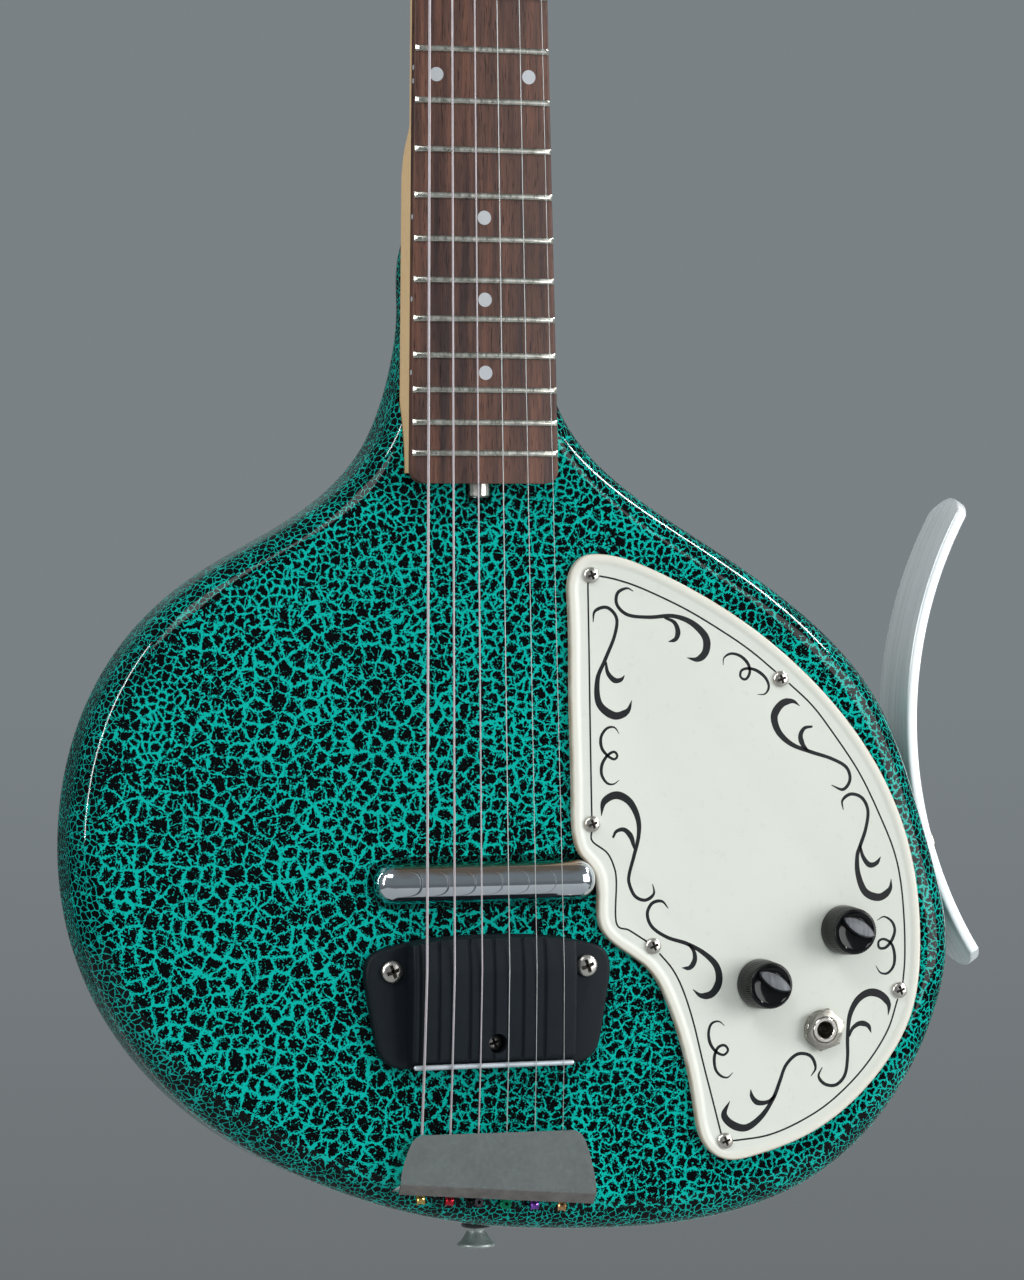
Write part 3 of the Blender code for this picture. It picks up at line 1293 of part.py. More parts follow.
tail_holes = []
for index, radius in enumerate(STRING_RADII):
    route = string_route(index)
    x = string_x(index, TAIL_STRING_SPREAD, TAIL_X)
    tail_holes.append(rod(
        "hole", radius + GAP, (x, tail_hole_y, tail_low_z(x) - 2 * MM),
        (x, tail_hole_y, tail_low_z(x) + 3.2 * MM), SMALL_SIDES,
    ))
    string = tube(f"string_{index + 1}", route, radius)
    combine(string, [ball_end(x)], "UNION")
    dress(string, steel)
    print(f"string_{index + 1}: least gap between its turns {least_gap(route, radius) / MM:.2f} mm")
tail_screw_holes = [screw_hole(seat, FACE_OUT, TAIL_SCREW) for seat in tail_seats]
combine(tailpiece, [joined(tail_holes), joined(tail_screw_holes)], "DIFFERENCE")
dress(tailpiece, chrome)
for number, seat in enumerate(tail_seats, 1):
    wood_screw(f"tailpiece_screw_{number}", seat, FACE_OUT, TAIL_SCREW, nickel)


# Leg rest: a bowed band with rounded ends, against the body's side
def rest_ring(angle, half_depth):
    """Eight points round the band's section at an angle of its curve."""
    ease = min(0.8 * MM, half_depth * 0.5)
    near, far = LEG_REST_RADIUS, LEG_REST_RADIUS - LEG_REST_THICKNESS
    section = (
        (near, -half_depth + ease), (near, half_depth - ease), (near - ease, half_depth),
        (far + ease, half_depth), (far, half_depth - ease), (far, -half_depth + ease),
        (far + ease, -half_depth), (near - ease, -half_depth),
    )
    return [
        (rest_centre.x - r * math.cos(angle), rest_middle_y + y, rest_centre.z + r * math.sin(angle))
        for r, y in section
    ]


def leg_rest():
    half = LEG_REST_DEPTH / 2
    full_angle = math.radians(LEG_REST_HALF_ANGLE)
    end_radius = (half**2 + LEG_REST_END_BULGE**2) / (2 * LEG_REST_END_BULGE)
    end_turn = math.asin(half / end_radius)
    stations = []
    for step in range(1, 7):
        turn = end_turn * step / 6
        drop = end_radius * (1 - math.cos(turn))
        stations.append((drop / LEG_REST_RADIUS - full_angle, end_radius * math.sin(turn)))
    straight = full_angle - LEG_REST_END_BULGE / LEG_REST_RADIUS
    stations += [(-straight + 2 * straight * step / 16, half) for step in range(1, 16)]
    stations += [(-angle, depth) for angle, depth in reversed(stations[:6])]
    made = lofted("leg_rest", [rest_ring(angle, depth) for angle, depth in stations])
    holes = [screw_hole(seat, rest_out, LEG_REST_SCREW) for seat in rest_seats]
    combine(made, [joined(holes)], "DIFFERENCE")
    return dress(made, aluminium)


leg_rest()
for number, seat in enumerate(rest_seats, 1):
    wood_screw(f"leg_rest_screw_{number}", seat, rest_out, LEG_REST_SCREW, nickel)


# Strap buttons, each with its screw, and the felt washer under the one at the tail
def strap_button(name, seat, direction, stand):
    rim, waist, height = BUTTON_RIM_RADIUS, BUTTON_WAIST_RADIUS, BUTTON_HEIGHT
    shank, length = BUTTON_SCREW[2], BUTTON_SCREW[3]
    recess = waist * 0.8
    profile = (
        (0, stand - length), (shank, stand - length + 7 * MM),
        (shank, stand), (waist + 1.2 * MM, stand), (waist + 1.2 * MM, stand + 1 * MM),
        (waist, stand + height * 0.4), (rim * 0.8, stand + height * 0.72),
        (rim, stand + height - 1.2 * MM), (rim - 0.3 * MM, stand + height),
        (recess, stand + height), (recess, stand + height - 0.8 * MM), (0, stand + height - 0.4 * MM),
    )
    return dress(turned(name, profile, facing(seat, direction), 16), nickel)


washer_profile = (
    (BUTTON_SCREW[2] + GAP, GAP), (WASHER_RADIUS, GAP), (WASHER_RADIUS, GAP + WASHER_THICKNESS),
    (BUTTON_SCREW[2] + GAP, GAP + WASHER_THICKNESS),
)
dress(turned("strap_washer_end", washer_profile, facing(button_seat, button_out), 16), felt)
strap_button("strap_button_end", button_seat, button_out, WASHER_THICKNESS + 2 * GAP)
strap_button("strap_button_heel", heel_button_seat, BACK_OUT, GAP)
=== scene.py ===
"""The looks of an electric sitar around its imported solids.

Metres, +Z up along the neck, the face looks along -Y. Outlines on the face are in
millimetres from the bridge line, which is one scale length below the nut.
"""

import json
import math

import bmesh
import bpy
import numpy
from mathutils import Matrix, Vector

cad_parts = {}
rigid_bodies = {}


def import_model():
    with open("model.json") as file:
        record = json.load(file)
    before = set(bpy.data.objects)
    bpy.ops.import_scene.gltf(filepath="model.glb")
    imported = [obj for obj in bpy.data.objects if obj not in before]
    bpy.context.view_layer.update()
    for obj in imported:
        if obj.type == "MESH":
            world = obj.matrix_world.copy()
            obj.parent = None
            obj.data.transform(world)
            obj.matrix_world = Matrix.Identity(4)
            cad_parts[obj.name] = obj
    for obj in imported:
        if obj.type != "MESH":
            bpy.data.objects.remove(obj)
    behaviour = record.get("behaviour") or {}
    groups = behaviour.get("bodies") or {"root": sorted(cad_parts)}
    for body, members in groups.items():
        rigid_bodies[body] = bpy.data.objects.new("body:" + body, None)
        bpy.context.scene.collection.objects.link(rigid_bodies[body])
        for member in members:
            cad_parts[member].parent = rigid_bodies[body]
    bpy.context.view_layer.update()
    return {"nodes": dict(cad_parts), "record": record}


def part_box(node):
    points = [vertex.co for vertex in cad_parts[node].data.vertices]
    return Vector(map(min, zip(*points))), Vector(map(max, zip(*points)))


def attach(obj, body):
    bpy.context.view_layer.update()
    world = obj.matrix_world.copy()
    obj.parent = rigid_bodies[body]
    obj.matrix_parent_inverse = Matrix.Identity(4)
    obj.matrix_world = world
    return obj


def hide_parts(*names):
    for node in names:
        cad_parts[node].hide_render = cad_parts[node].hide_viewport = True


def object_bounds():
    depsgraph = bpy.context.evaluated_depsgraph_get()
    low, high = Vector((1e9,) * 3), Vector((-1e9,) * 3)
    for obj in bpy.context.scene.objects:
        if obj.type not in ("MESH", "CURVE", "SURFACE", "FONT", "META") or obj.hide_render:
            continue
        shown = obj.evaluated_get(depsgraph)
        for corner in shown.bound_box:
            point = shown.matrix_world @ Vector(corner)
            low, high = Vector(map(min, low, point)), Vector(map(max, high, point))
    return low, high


for old in list(bpy.data.objects):
    bpy.data.objects.remove(old)
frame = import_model()

MM = 0.001
SCALE_LENGTH = 0.635
BRIDGE_Z = -SCALE_LENGTH
FACE_Y, BACK_Y = 4.7 * MM, 50 * MM
GAP = 0.3 * MM
FACE_OUT, BACK_OUT, DOWN = Vector((0, -1, 0)), Vector((0, 1, 0)), Vector((0, 0, -1))


# Shapes
def from_bmesh(name, shape, place=None):
    bmesh.ops.recalc_face_normals(shape, faces=shape.faces)
    mesh = bpy.data.meshes.new(name)
    shape.to_mesh(mesh)
    shape.free()
    made = bpy.data.objects.new(name, mesh)
    bpy.context.scene.collection.objects.link(made)
    if place is not None:
        mesh.transform(place)
    return made


def evaluated_mesh(made):
    bpy.context.view_layer.update()
    graph = bpy.context.evaluated_depsgraph_get()
    return bpy.data.meshes.new_from_object(made.evaluated_get(graph))


def combine(part, tools, operation):
    for tool in tools:
        step = part.modifiers.new("combine", "BOOLEAN")
        step.operation, step.solver, step.object = operation, "EXACT", tool
        mesh = evaluated_mesh(part)
        part.modifiers.clear()
        part.data = mesh
        bpy.data.objects.remove(tool)


def joined(tools, name="tools"):
    shape = bmesh.new()
    for tool in tools:
        shape.from_mesh(tool.data)
        bpy.data.objects.remove(tool)
    return from_bmesh(name, shape)


def facing(place, direction):
    turn = Vector((0, 0, 1)).rotation_difference(Vector(direction)).to_matrix().to_4x4()
    return Matrix.Translation(place) @ turn


def lofted(name, rings, place=None):
    """A closed solid through rings with equal numbers of points."""
    shape = bmesh.new()
    loops = [[shape.verts.new(point) for point in ring] for ring in rings]
    for first, second in zip(loops, loops[1:]):
        for i in range(len(first)):
            j = (i + 1) % len(first)
            shape.faces.new((first[i], first[j], second[j], second[i]))
    shape.faces.new(loops[0])
    shape.faces.new(loops[-1])
    return from_bmesh(name, shape, place)


def rings_at(loop, steps):
    return [[(x, y, z) for x, z in inset(loop, distance)] for distance, y in steps]


def prism(name, outline, y_front, y_back):
    return lofted(name, [[(x, y, z) for x, z in outline] for y in (y_front, y_back)])


def block(name, low, high):
    outline = ((low[0], low[2]), (high[0], low[2]), (high[0], high[2]), (low[0], high[2]))
    return prism(name, outline, low[1], high[1])


def turned(name, profile, place=None, sides=64):
    """A solid of revolution about Z from (radius, height) points."""
    shape = bmesh.new()
    points = [shape.verts.new((radius, 0, height)) for radius, height in profile]
    edges = [shape.edges.new(pair) for pair in zip(points, points[1:])]
    if profile[0][0] > 0:
        edges.append(shape.edges.new((points[-1], points[0])))
    bmesh.ops.spin(
        shape, geom=points + edges, axis=(0, 0, 1), cent=(0, 0, 0), steps=sides,
        angle=2 * math.pi, use_merge=True,
    )
    bmesh.ops.remove_doubles(shape, verts=shape.verts, dist=0.001 * MM)
    return from_bmesh(name, shape, place)


def rod(name, radius, start, end, sides=48):
    start, end = Vector(start), Vector(end)
    length = (end - start).length
    profile = ((0, 0), (radius, 0), (radius, length), (0, length))
    return turned(name, profile, facing(start, end - start), sides)


def smooth_loop(points, steps):
    """A closed curve through the points, with an even bend and steps stretches between two."""
    knots = numpy.array(points, float)
    count = len(knots)
    ahead = numpy.roll(knots, -1, axis=0) - knots
    gaps = numpy.hypot(ahead[:, 0], ahead[:, 1])
    system = numpy.zeros((count, count))
    pull = numpy.zeros((count, 2))
    for i in range(count):
        before, after = gaps[i - 1], gaps[i]
        system[i, i - 1] = after
        system[i, i] = 2 * (before + after)
        system[i, (i + 1) % count] = before
        pull[i] = 3 * (after * ahead[i - 1] / before + before * ahead[i] / after)
    slopes = numpy.linalg.solve(system, pull)
    curve = []
    for i in range(count):
        j = (i + 1) % count
        for t in numpy.arange(steps) / steps:
            stay = (1 + 2 * t) * (1 - t) ** 2
            leave = t * (1 - t) ** 2 * gaps[i]
            arrive = t**2 * (t - 1) * gaps[i]
            curve.append(stay * knots[i] + (1 - stay) * knots[j] + leave * slopes[i] + arrive * slopes[j])
    return [(float(x), float(z)) for x, z in curve]


def open_curve(points, step=0.6):
    """An open curve through the points, cut into short even stretches."""
    knots = numpy.array(points, float)
    padded = numpy.vstack([2 * knots[0] - knots[1], knots, 2 * knots[-1] - knots[-2]])
    curve = []
    for i in range(1, len(padded) - 2):
        p0, p1, p2, p3 = padded[i - 1:i + 3]
        count = max(2, int(numpy.hypot(*(p2 - p1)) / step))
        for t in numpy.arange(count) / count:
            curve.append(0.5 * (
                2 * p1 + (p2 - p0) * t + (2 * p0 - 5 * p1 + 4 * p2 - p3) * t**2
                + (3 * p1 - p0 - 3 * p2 + p3) * t**3
            ))
    curve.append(knots[-1])
    return numpy.array(curve)


def inset(loop, distance):
    """The closed outline moved inwards, square to itself, by a distance."""
    points = numpy.array(loop)
    along = numpy.roll(points, -1, axis=0) - numpy.roll(points, 1, axis=0)
    along /= numpy.hypot(along[:, 0], along[:, 1])[:, None]
    ahead = numpy.roll(points, -1, axis=0)
    area = numpy.sum(points[:, 0] * ahead[:, 1] - ahead[:, 0] * points[:, 1])
    side = 1 if area > 0 else -1
    inward = numpy.stack([-along[:, 1], along[:, 0]], axis=1) * side
    return [(float(x), float(z)) for x, z in points + inward * distance]


def on_body(outline, middle=0.0):
    return [(middle + x * MM, BRIDGE_Z + z * MM) for x, z in outline]


def place_on(y, spot, middle=0.0):
    (x, z), = on_body((spot,), middle)
    return Vector((x, y, z))


def fret_z(number):
    return -SCALE_LENGTH * (1 - 2 ** (-number / 12))


def half_width(z):
    return (42 + 20.6 * (-z / SCALE_LENGTH)) / 2 * MM


def blend(start, end, share):
    share = min(max(share, 0), 1)
    return start + (end - start) * share * share * (3 - 2 * share)


def eased(radius, steps):
    """Quarter-circle steps as (inset, drop) pairs from the top edge inwards."""
    turns = [math.pi / 2 * step / steps for step in range(steps + 1)]
    return [(radius * (1 - math.sin(turn)), radius * (1 - math.cos(turn))) for turn in turns]


def finished(part, material, body="root", replaces=(), angle=32):
    """Shades a piece, gives it its material, and puts it on its body."""
    part.data.materials.clear()
    part.data.materials.append(material)
    part.data.shade_smooth()
    part.data.set_sharp_from_angle(angle=math.radians(angle))
    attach(part, body)
    if replaces:
        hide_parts(*replaces)
    return part


# Materials
class Nodes:
    """Short ways to add nodes to a tree."""

    def __init__(self, tree):
        self.tree = tree

    def add(self, kind, inputs=None, **settings):
        node = self.tree.nodes.new("ShaderNode" + kind)
        for key, value in settings.items():
            setattr(node, key, value)
        for key, value in (inputs or {}).items():
            if isinstance(value, bpy.types.NodeSocket):
                self.tree.links.new(value, node.inputs[key])
            else:
                node.inputs[key].default_value = value
        return node

    def noise(self, vector, scale, detail=3.0, roughness=0.5, output="Fac"):
        inputs = {"Vector": vector, "Scale": scale, "Detail": detail, "Roughness": roughness}
        return self.add("TexNoise", inputs).outputs[output]

    def edge(self, vector, scale, dimensions="3D"):
        """The distance in millimetres to the nearest border between irregular cells."""
        settings = {"feature": "DISTANCE_TO_EDGE", "voronoi_dimensions": dimensions}
        node = self.add("TexVoronoi", {"Vector": vector, "Scale": scale}, **settings)
        return self.calc("MULTIPLY", node.outputs["Distance"], 1000 / scale)

    def calc(self, operation, first, second=0.0):
        return self.add("Math", {0: first, 1: second}, operation=operation).outputs[0]

    def vector(self, operation, first, second):
        return self.add("VectorMath", {0: first, 1: second}, operation=operation).outputs[0]

    def remap(self, value, low, high, start=0.0, end=1.0):
        inputs = {0: value, 1: low, 2: high, 3: start, 4: end}
        return self.add("MapRange", inputs).outputs[0]

    def mix(self, share, first, second, blend_type="MIX"):
        node = self.add("MixRGB", {0: share}, blend_type=blend_type)
        for index, value in ((1, first), (2, second)):
            if isinstance(value, bpy.types.NodeSocket):
                self.tree.links.new(value, node.inputs[index])
            else:
                node.inputs[index].default_value = (*value, 1)
        return node.outputs[0]


class Look(Nodes):
    """A material built from nodes; constants go straight on the shader's own sockets."""

    def __init__(self, name, **constants):
        self.made = bpy.data.materials.new(name)
        self.made.use_nodes = True
        super().__init__(self.made.node_tree)
        self.shader = self.tree.nodes["Principled BSDF"]
        self.place = self.add("TexCoord").outputs["Object"]
        for socket, value in constants.items():
            self.shader.inputs[socket.replace("_", " ")].default_value = value

    def stretched(self, x, y, z):
        return self.add("Mapping", {"Vector": self.place, "Scale": (x, y, z)}).outputs["Vector"]

    def drive(self, socket, value):
        self.tree.links.new(value, self.shader.inputs[socket])

    def bump(self, height, distance, strength=1.0):
        """Relief of a height in metres where the value goes from 0 to 1."""
        inputs = {"Height": height, "Distance": distance, "Strength": strength}
        self.drive("Normal", self.add("Bump", inputs).outputs["Normal"])
        return self


PICKUP_X, PICKUP_Y, PICKUP_Z = 0.1 * MM, FACE_Y - 3 * MM, BRIDGE_Z + 31.8 * MM
PICKUP_RADIUS, PICKUP_LENGTH = 7.5 * MM, 85 * MM


def crackle():
    """Black lacquer that has shrunk into torn islands over teal; finer at the rim and the sides."""
    look = Look("crackle_lacquer", Roughness=0.06, Specular_IOR_Level=0.17)
    place = look.place
    parts = look.add("SeparateXYZ", {0: place}).outputs

    def warped(scale, reach, start):
        shift = look.vector("SUBTRACT", look.noise(start, scale, 2.0, 0.6, "Color"), (0.5, 0.5, 0.5))
        amount = look.add("VectorMath", {0: shift, "Scale": reach}, operation="SCALE").outputs[0]
        return look.vector("ADD", start, amount)

    soft = warped(420, 1.2 * MM, warped(130, 4 * MM, place))
    torn = warped(1000, 0.6 * MM, soft)
    turned_over = look.add("SeparateXYZ", {0: torn}).outputs
    level = look.add("CombineXYZ", {0: turned_over[0], 1: turned_over[2]}).outputs[0]

    def spikes(vector, scale):
        """Ragged tips: 1 along the wandering lines where a noise passes its middle, 0 beside them."""
        wander = look.calc("SUBTRACT", look.noise(vector, scale, 0.0), 0.5)
        return look.remap(look.calc("ABSOLUTE", wander), 0, 0.11, 1, 0)

    def cracks(vector, scale, thin, thick, patches, tips, dimensions="3D"):
        width = look.remap(look.noise(place, patches, 2.0), 0.36, 0.64, thin, thick)
        width = look.calc("ADD", width, tips)
        return look.calc("SUBTRACT", width, look.edge(vector, scale, dimensions))

    def away(middle_x, middle_z, half_width, half_height):
        """Distance from a middle on the face, 1 on an ellipse round it, with an uneven edge."""
        across = look.calc("DIVIDE", look.calc("SUBTRACT", parts[0], middle_x), half_width)
        along = look.calc("DIVIDE", look.calc("SUBTRACT", parts[2], middle_z), half_height)
        square = look.calc("ADD", look.calc("MULTIPLY", across, across), look.calc("MULTIPLY", along, along))
        return look.calc("ADD", look.calc("SQRT", square), uneven)

    short_tips = look.calc("MULTIPLY", spikes(place, 900), 0.4)
    splits = cracks(level, 340, -0.35, 0.1, 220, short_tips, "2D")
    coarse = cracks(level, 178, 0.08, 0.40, 90, look.calc("MULTIPLY", spikes(soft, 620), 0.75), "2D")
    medium = cracks(level, 240, 0.06, 0.31, 90, look.calc("MULTIPLY", spikes(soft, 800), 0.65), "2D")
    fine = cracks(level, 335, 0.07, 0.27, 90, look.calc("MULTIPLY", spikes(soft, 1050), 0.5), "2D")
    side = cracks(soft, 430, 0.05, 0.14, 90, look.calc("MULTIPLY", spikes(place, 1400), 0.1))
    coarse, medium = look.calc("MAXIMUM", coarse, splits), look.calc("MAXIMUM", medium, splits)
    uneven = look.remap(look.noise(place, 22, 2.0), 0.35, 0.65, -0.14, 0.14)
    inner = look.remap(away(-0.065, BRIDGE_Z + 0.03, 0.09, 0.105), 0.97, 1.03)
    rim = look.remap(away(0.006, BRIDGE_Z + 0.034, 0.168, 0.135), 0.94, 0.98)
    deep = look.remap(parts[1], FACE_Y + 0.3 * MM, FACE_Y + 0.9 * MM)
    outward = look.add("SeparateXYZ", {0: look.add("NewGeometry").outputs["Normal"]}).outputs[1]
    deep = look.calc("MULTIPLY", deep, look.remap(outward, 0.55, 0.72, 1, 0))
    field = look.add("Mix", {"Factor": inner, 2: coarse, 3: medium}).outputs[0]
    field = look.add("Mix", {"Factor": rim, 2: field, 3: fine}).outputs[0]
    field = look.add("Mix", {"Factor": deep, 2: field, 3: side}).outputs[0]
    teal_share = look.remap(field, -0.05, 0.05)
    teal = look.mix(look.noise(place, 260, 2.0), (0.0015, 0.43, 0.36), (0.002, 0.50, 0.425))
    flecks = look.remap(look.noise(place, 1400, 2.0), 0.6, 0.8)
    black = look.mix(flecks, (0.0008, 0.0012, 0.0018), (0.004, 0.009, 0.010))
    look.drive("Base Color", look.mix(teal_share, black, teal))
    return look.bump(look.calc("SUBTRACT", 1.0, teal_share), 0.02 * MM, 0.12).made


def rosewood():
    look = Look("rosewood", Roughness=0.5, Specular_IOR_Level=0.2)
    long_way = look.stretched(1, 1, 0.045)
    broad = look.noise(long_way, 190, 4.0, 0.6)
    fine = look.noise(long_way, 900, 3.0, 0.6)
    pores = look.noise(look.stretched(1, 1, 0.05), 3200, 1.0)
    colour = look.mix(look.remap(broad, 0.35, 0.68), (0.185, 0.082, 0.054), (0.044, 0.026, 0.026))
    colour = look.mix(look.remap(fine, 0.42, 0.75, 0, 0.6), colour, (0.034, 0.020, 0.020))
    colour = look.mix(look.remap(pores, 0.6, 0.68, 0, 0.75), colour, (0.008, 0.004, 0.004))
    look.drive("Base Color", colour)
    return look.bump(pores, -0.03 * MM, 0.6).made


def maple():
    look = Look("maple", Roughness=0.42, Specular_IOR_Level=0.3)
    grain = look.noise(look.stretched(1, 1, 0.03), 420, 4.0, 0.6)
    colour = look.mix(grain, (0.93, 0.67, 0.37), (0.86, 0.58, 0.29))
    flecks = look.noise(look.stretched(1, 1, 0.1), 2400, 1.0)
    look.drive("Base Color", look.mix(look.remap(flecks, 0.62, 0.7, 0, 0.35), colour, (0.48, 0.29, 0.12)))
    return look.bump(grain, 0.02 * MM, 0.4).made


def plastic(name, light, dark, roughness, mottle=40, dust=0.0, **constants):
    """A plain plastic with faint cloudiness and fine wear in its gloss."""
    look = Look(name, **constants)
    colour = look.mix(look.noise(look.place, mottle, 3.0), light, dark)
    if dust:
        specks = look.remap(look.noise(look.place, 2600, 2.0), 0.66, 0.74, 0, dust)
        colour = look.mix(specks, colour, (0.35, 0.33, 0.30))
    look.drive("Base Color", colour)
    look.drive("Roughness", look.remap(look.noise(look.place, 500, 4.0), 0.3, 0.7, *roughness))
    return look.bump(look.noise(look.place, 1200, 2.0), 0.01 * MM, 0.3).made


def guard_plastic():
    """Pale plastic that has yellowed along its bevelled edge."""
    look = Look("cream_plastic", Specular_IOR_Level=0.3)
    edge = look.add("Attribute", attribute_name="edge_share").outputs["Fac"]
    clouds = look.noise(look.place, 18, 4.0)
    colour = look.mix(clouds, (0.735, 0.765, 0.70), (0.70, 0.735, 0.665))
    colour = look.mix(look.remap(edge, 0.1, 0.8, 0, 0.8), colour, (0.80, 0.775, 0.68))
    patches = look.remap(look.noise(look.place, 90, 3.0), 0.3, 0.6)
    brown_share = look.calc("MULTIPLY", look.remap(edge, 0.8, 1.0), patches)
    look.drive("Base Color", look.mix(look.calc("MULTIPLY", brown_share, 0.65), colour, (0.42, 0.27, 0.13)))
    look.drive("Roughness", look.remap(look.noise(look.place, 300, 4.0), 0.3, 0.7, 0.26, 0.4))
    return look.bump(look.noise(look.place, 60, 2.0), 0.04 * MM, 0.25).made


def metal(
    name, light, dark, roughness, tarnish=60, grain=(1, 1, 1), grain_scale=900, relief=0.001,
    streak=0.0, **constants
):
    """A metal with uneven tarnish and fine wear, which runs along the short side of grain."""
    look = Look(name, **{"Metallic": 1.0, **constants})
    clouds = look.remap(look.noise(look.place, tarnish, 4.0, 0.6), 0.35, 0.7)
    wear = look.noise(look.stretched(*grain), grain_scale, 3.0, 0.6)
    deeper = tuple(0.55 * part for part in dark)
    colour = look.mix(clouds, light, dark)
    look.drive("Base Color", look.mix(look.remap(wear, 0.35, 0.65, 0, streak), colour, deeper))
    look.drive("Roughness", look.remap(wear, 0.3, 0.7, *roughness))
    return look.bump(wear, relief * MM, 0.5).made


def pickup_chrome():
    """Bright plating with a painted brown reflection along the tube's upper side."""
    look = Look("pickup_chrome", Metallic=1.0)
    parts = look.add("SeparateXYZ", {0: look.place}).outputs
    uneven = look.remap(look.noise(look.stretched(0.3, 1, 1), 300, 3.0), 0.3, 0.7, -0.8 * MM, 0.8 * MM)
    height = look.calc("ADD", look.calc("SUBTRACT", parts[2], PICKUP_Z), uneven)
    reach = look.calc("ABSOLUTE", look.calc("SUBTRACT", parts[0], PICKUP_X))
    inner = look.remap(reach, 37.5 * MM, 34 * MM)
    # Painted reflection: brown along the top of the tube, fading out before the domed ends.
    brown_share = look.calc("MULTIPLY", look.remap(height, 2.6 * MM, 4.4 * MM), inner)
    colour = look.mix(look.noise(look.place, 60, 4.0), (0.66, 0.70, 0.74), (0.58, 0.62, 0.67))
    look.drive("Base Color", look.mix(look.calc("MULTIPLY", brown_share, 0.85), colour, (0.44, 0.31, 0.21)))
    look.drive("Roughness", look.remap(look.noise(look.place, 900, 3.0), 0.3, 0.7, 0.06, 0.13))
    return look.made


def felt_cloth():
    look = Look("felt", Roughness=0.95, Sheen_Weight=0.4, Sheen_Roughness=0.6)
    fibres = look.noise(look.place, 2400, 5.0, 0.7)
    look.drive("Base Color", look.mix(fibres, (0.006, 0.006, 0.007), (0.03, 0.03, 0.032)))
    return look.bump(fibres, 0.2 * MM, 0.8).made


def winding(name):
    """A wound string's silvery wrap: fine ridges across its length, uneven in tone."""
    look = Look(name, Metallic=0.85)
    inputs = {"Vector": look.place, "Scale": 900.0, "Distortion": 0.0}
    waves = look.add("TexWave", inputs, bands_direction="Z")
    ridges = waves.outputs["Fac"]
    colour = look.mix(ridges, (0.34, 0.33, 0.34), (0.46, 0.44, 0.46))
    look.drive("Base Color", look.mix(look.noise(look.place, 300, 3.0), colour, (0.34, 0.31, 0.33)))
    look.drive("Roughness", look.remap(look.noise(look.place, 700, 2.0), 0.3, 0.7, 0.5, 0.62))
    return look.bump(ridges, 0.02 * MM, 0.4).made


def tinted(name, colour):
    """Coloured metal for a string's ball end."""
    dark = tuple(0.55 * part for part in colour)
    return metal(name, colour, dark, (0.18, 0.34), tarnish=500)


lacquer = crackle()
board_wood = rosewood()
neck_wood = maple()
cream = guard_plastic()
bone = plastic("nut_plastic", (0.72, 0.69, 0.58), (0.62, 0.58, 0.46), (0.3, 0.45))
pearl = plastic("dot_pearl", (0.60, 0.62, 0.64), (0.46, 0.50, 0.54), (0.18, 0.3), mottle=500)
gloss_black = plastic(
    "black_gloss_plastic", (0.003, 0.0035, 0.004), (0.006, 0.0065, 0.007), (0.06, 0.12),
    dust=0.02, Specular_IOR_Level=0.25,
)
matte_black = plastic(
    "black_matte_plastic", (0.007, 0.011, 0.015), (0.011, 0.016, 0.021), (0.42, 0.56),
    mottle=200, dust=0.02, Specular_IOR_Level=0.1,
)
ink = plastic(
    "ornament_ink", (0.005, 0.007, 0.009), (0.009, 0.012, 0.015), (0.35, 0.45), Specular_IOR_Level=0.2
)
# Chrome whose brown band on the tube's top is a painted reflection.
chrome_with_painted_reflection = pickup_chrome()
chrome = metal("chrome", (0.66, 0.70, 0.74), (0.58, 0.62, 0.67), (0.06, 0.13), relief=0.002)
nickel = metal("nickel", (0.62, 0.60, 0.56), (0.46, 0.43, 0.39), (0.26, 0.32), tarnish=160)
steel = metal("steel", (0.62, 0.62, 0.62), (0.50, 0.50, 0.49), (0.26, 0.32), tarnish=120)
fret_metal = metal(
    "fret_nickel", (0.60, 0.60, 0.55), (0.34, 0.34, 0.29), (0.22, 0.42), tarnish=420, grain=(1, 1, 0.1)
)
aluminium = metal(
    "brushed_aluminium", (0.95, 0.99, 1.0), (0.88, 0.95, 0.98), (0.34, 0.5), tarnish=30,
    grain=(0.04, 1, 0.02), grain_scale=1000, relief=0.01, streak=0.5, Metallic=0.4,
)
felt = felt_cloth()
wound = winding("wound_string")
plain = metal("plain_string", (0.42, 0.44, 0.44), (0.30, 0.32, 0.32), (0.42, 0.54), tarnish=200)
# Dark brown for the fill in the screw slots: painted shade.
slot_shade_look = plastic("slot_shade_fill", (0.022, 0.013, 0.008), (0.010, 0.006, 0.004), (0.7, 0.9), mottle=900)
plain_bar = metal(
    "bridge_bar_steel", (0.60, 0.66, 0.71), (0.50, 0.55, 0.60), (0.35, 0.45), tarnish=150, Metallic=0.4
)
tail_sheet = metal(
    "tailpiece_sheet", (0.80, 0.83, 0.80), (0.70, 0.73, 0.70), (0.1, 0.16), tarnish=90, relief=0.0002
)
dull_jack = metal(
    "jack_nickel", (0.40, 0.385, 0.34), (0.31, 0.30, 0.265), (0.26, 0.32), tarnish=160, relief=0.0
)
dull_nickel = metal(
    "dull_nickel", (0.42, 0.47, 0.45), (0.30, 0.34, 0.32), (0.38, 0.5), tarnish=160, Metallic=0.6
)
satin = metal(
    "knob_satin", (0.10, 0.105, 0.115), (0.06, 0.065, 0.07), (0.4, 0.5), grain=(1, 1, 0.1),
    streak=0.6, Metallic=0.7,
)
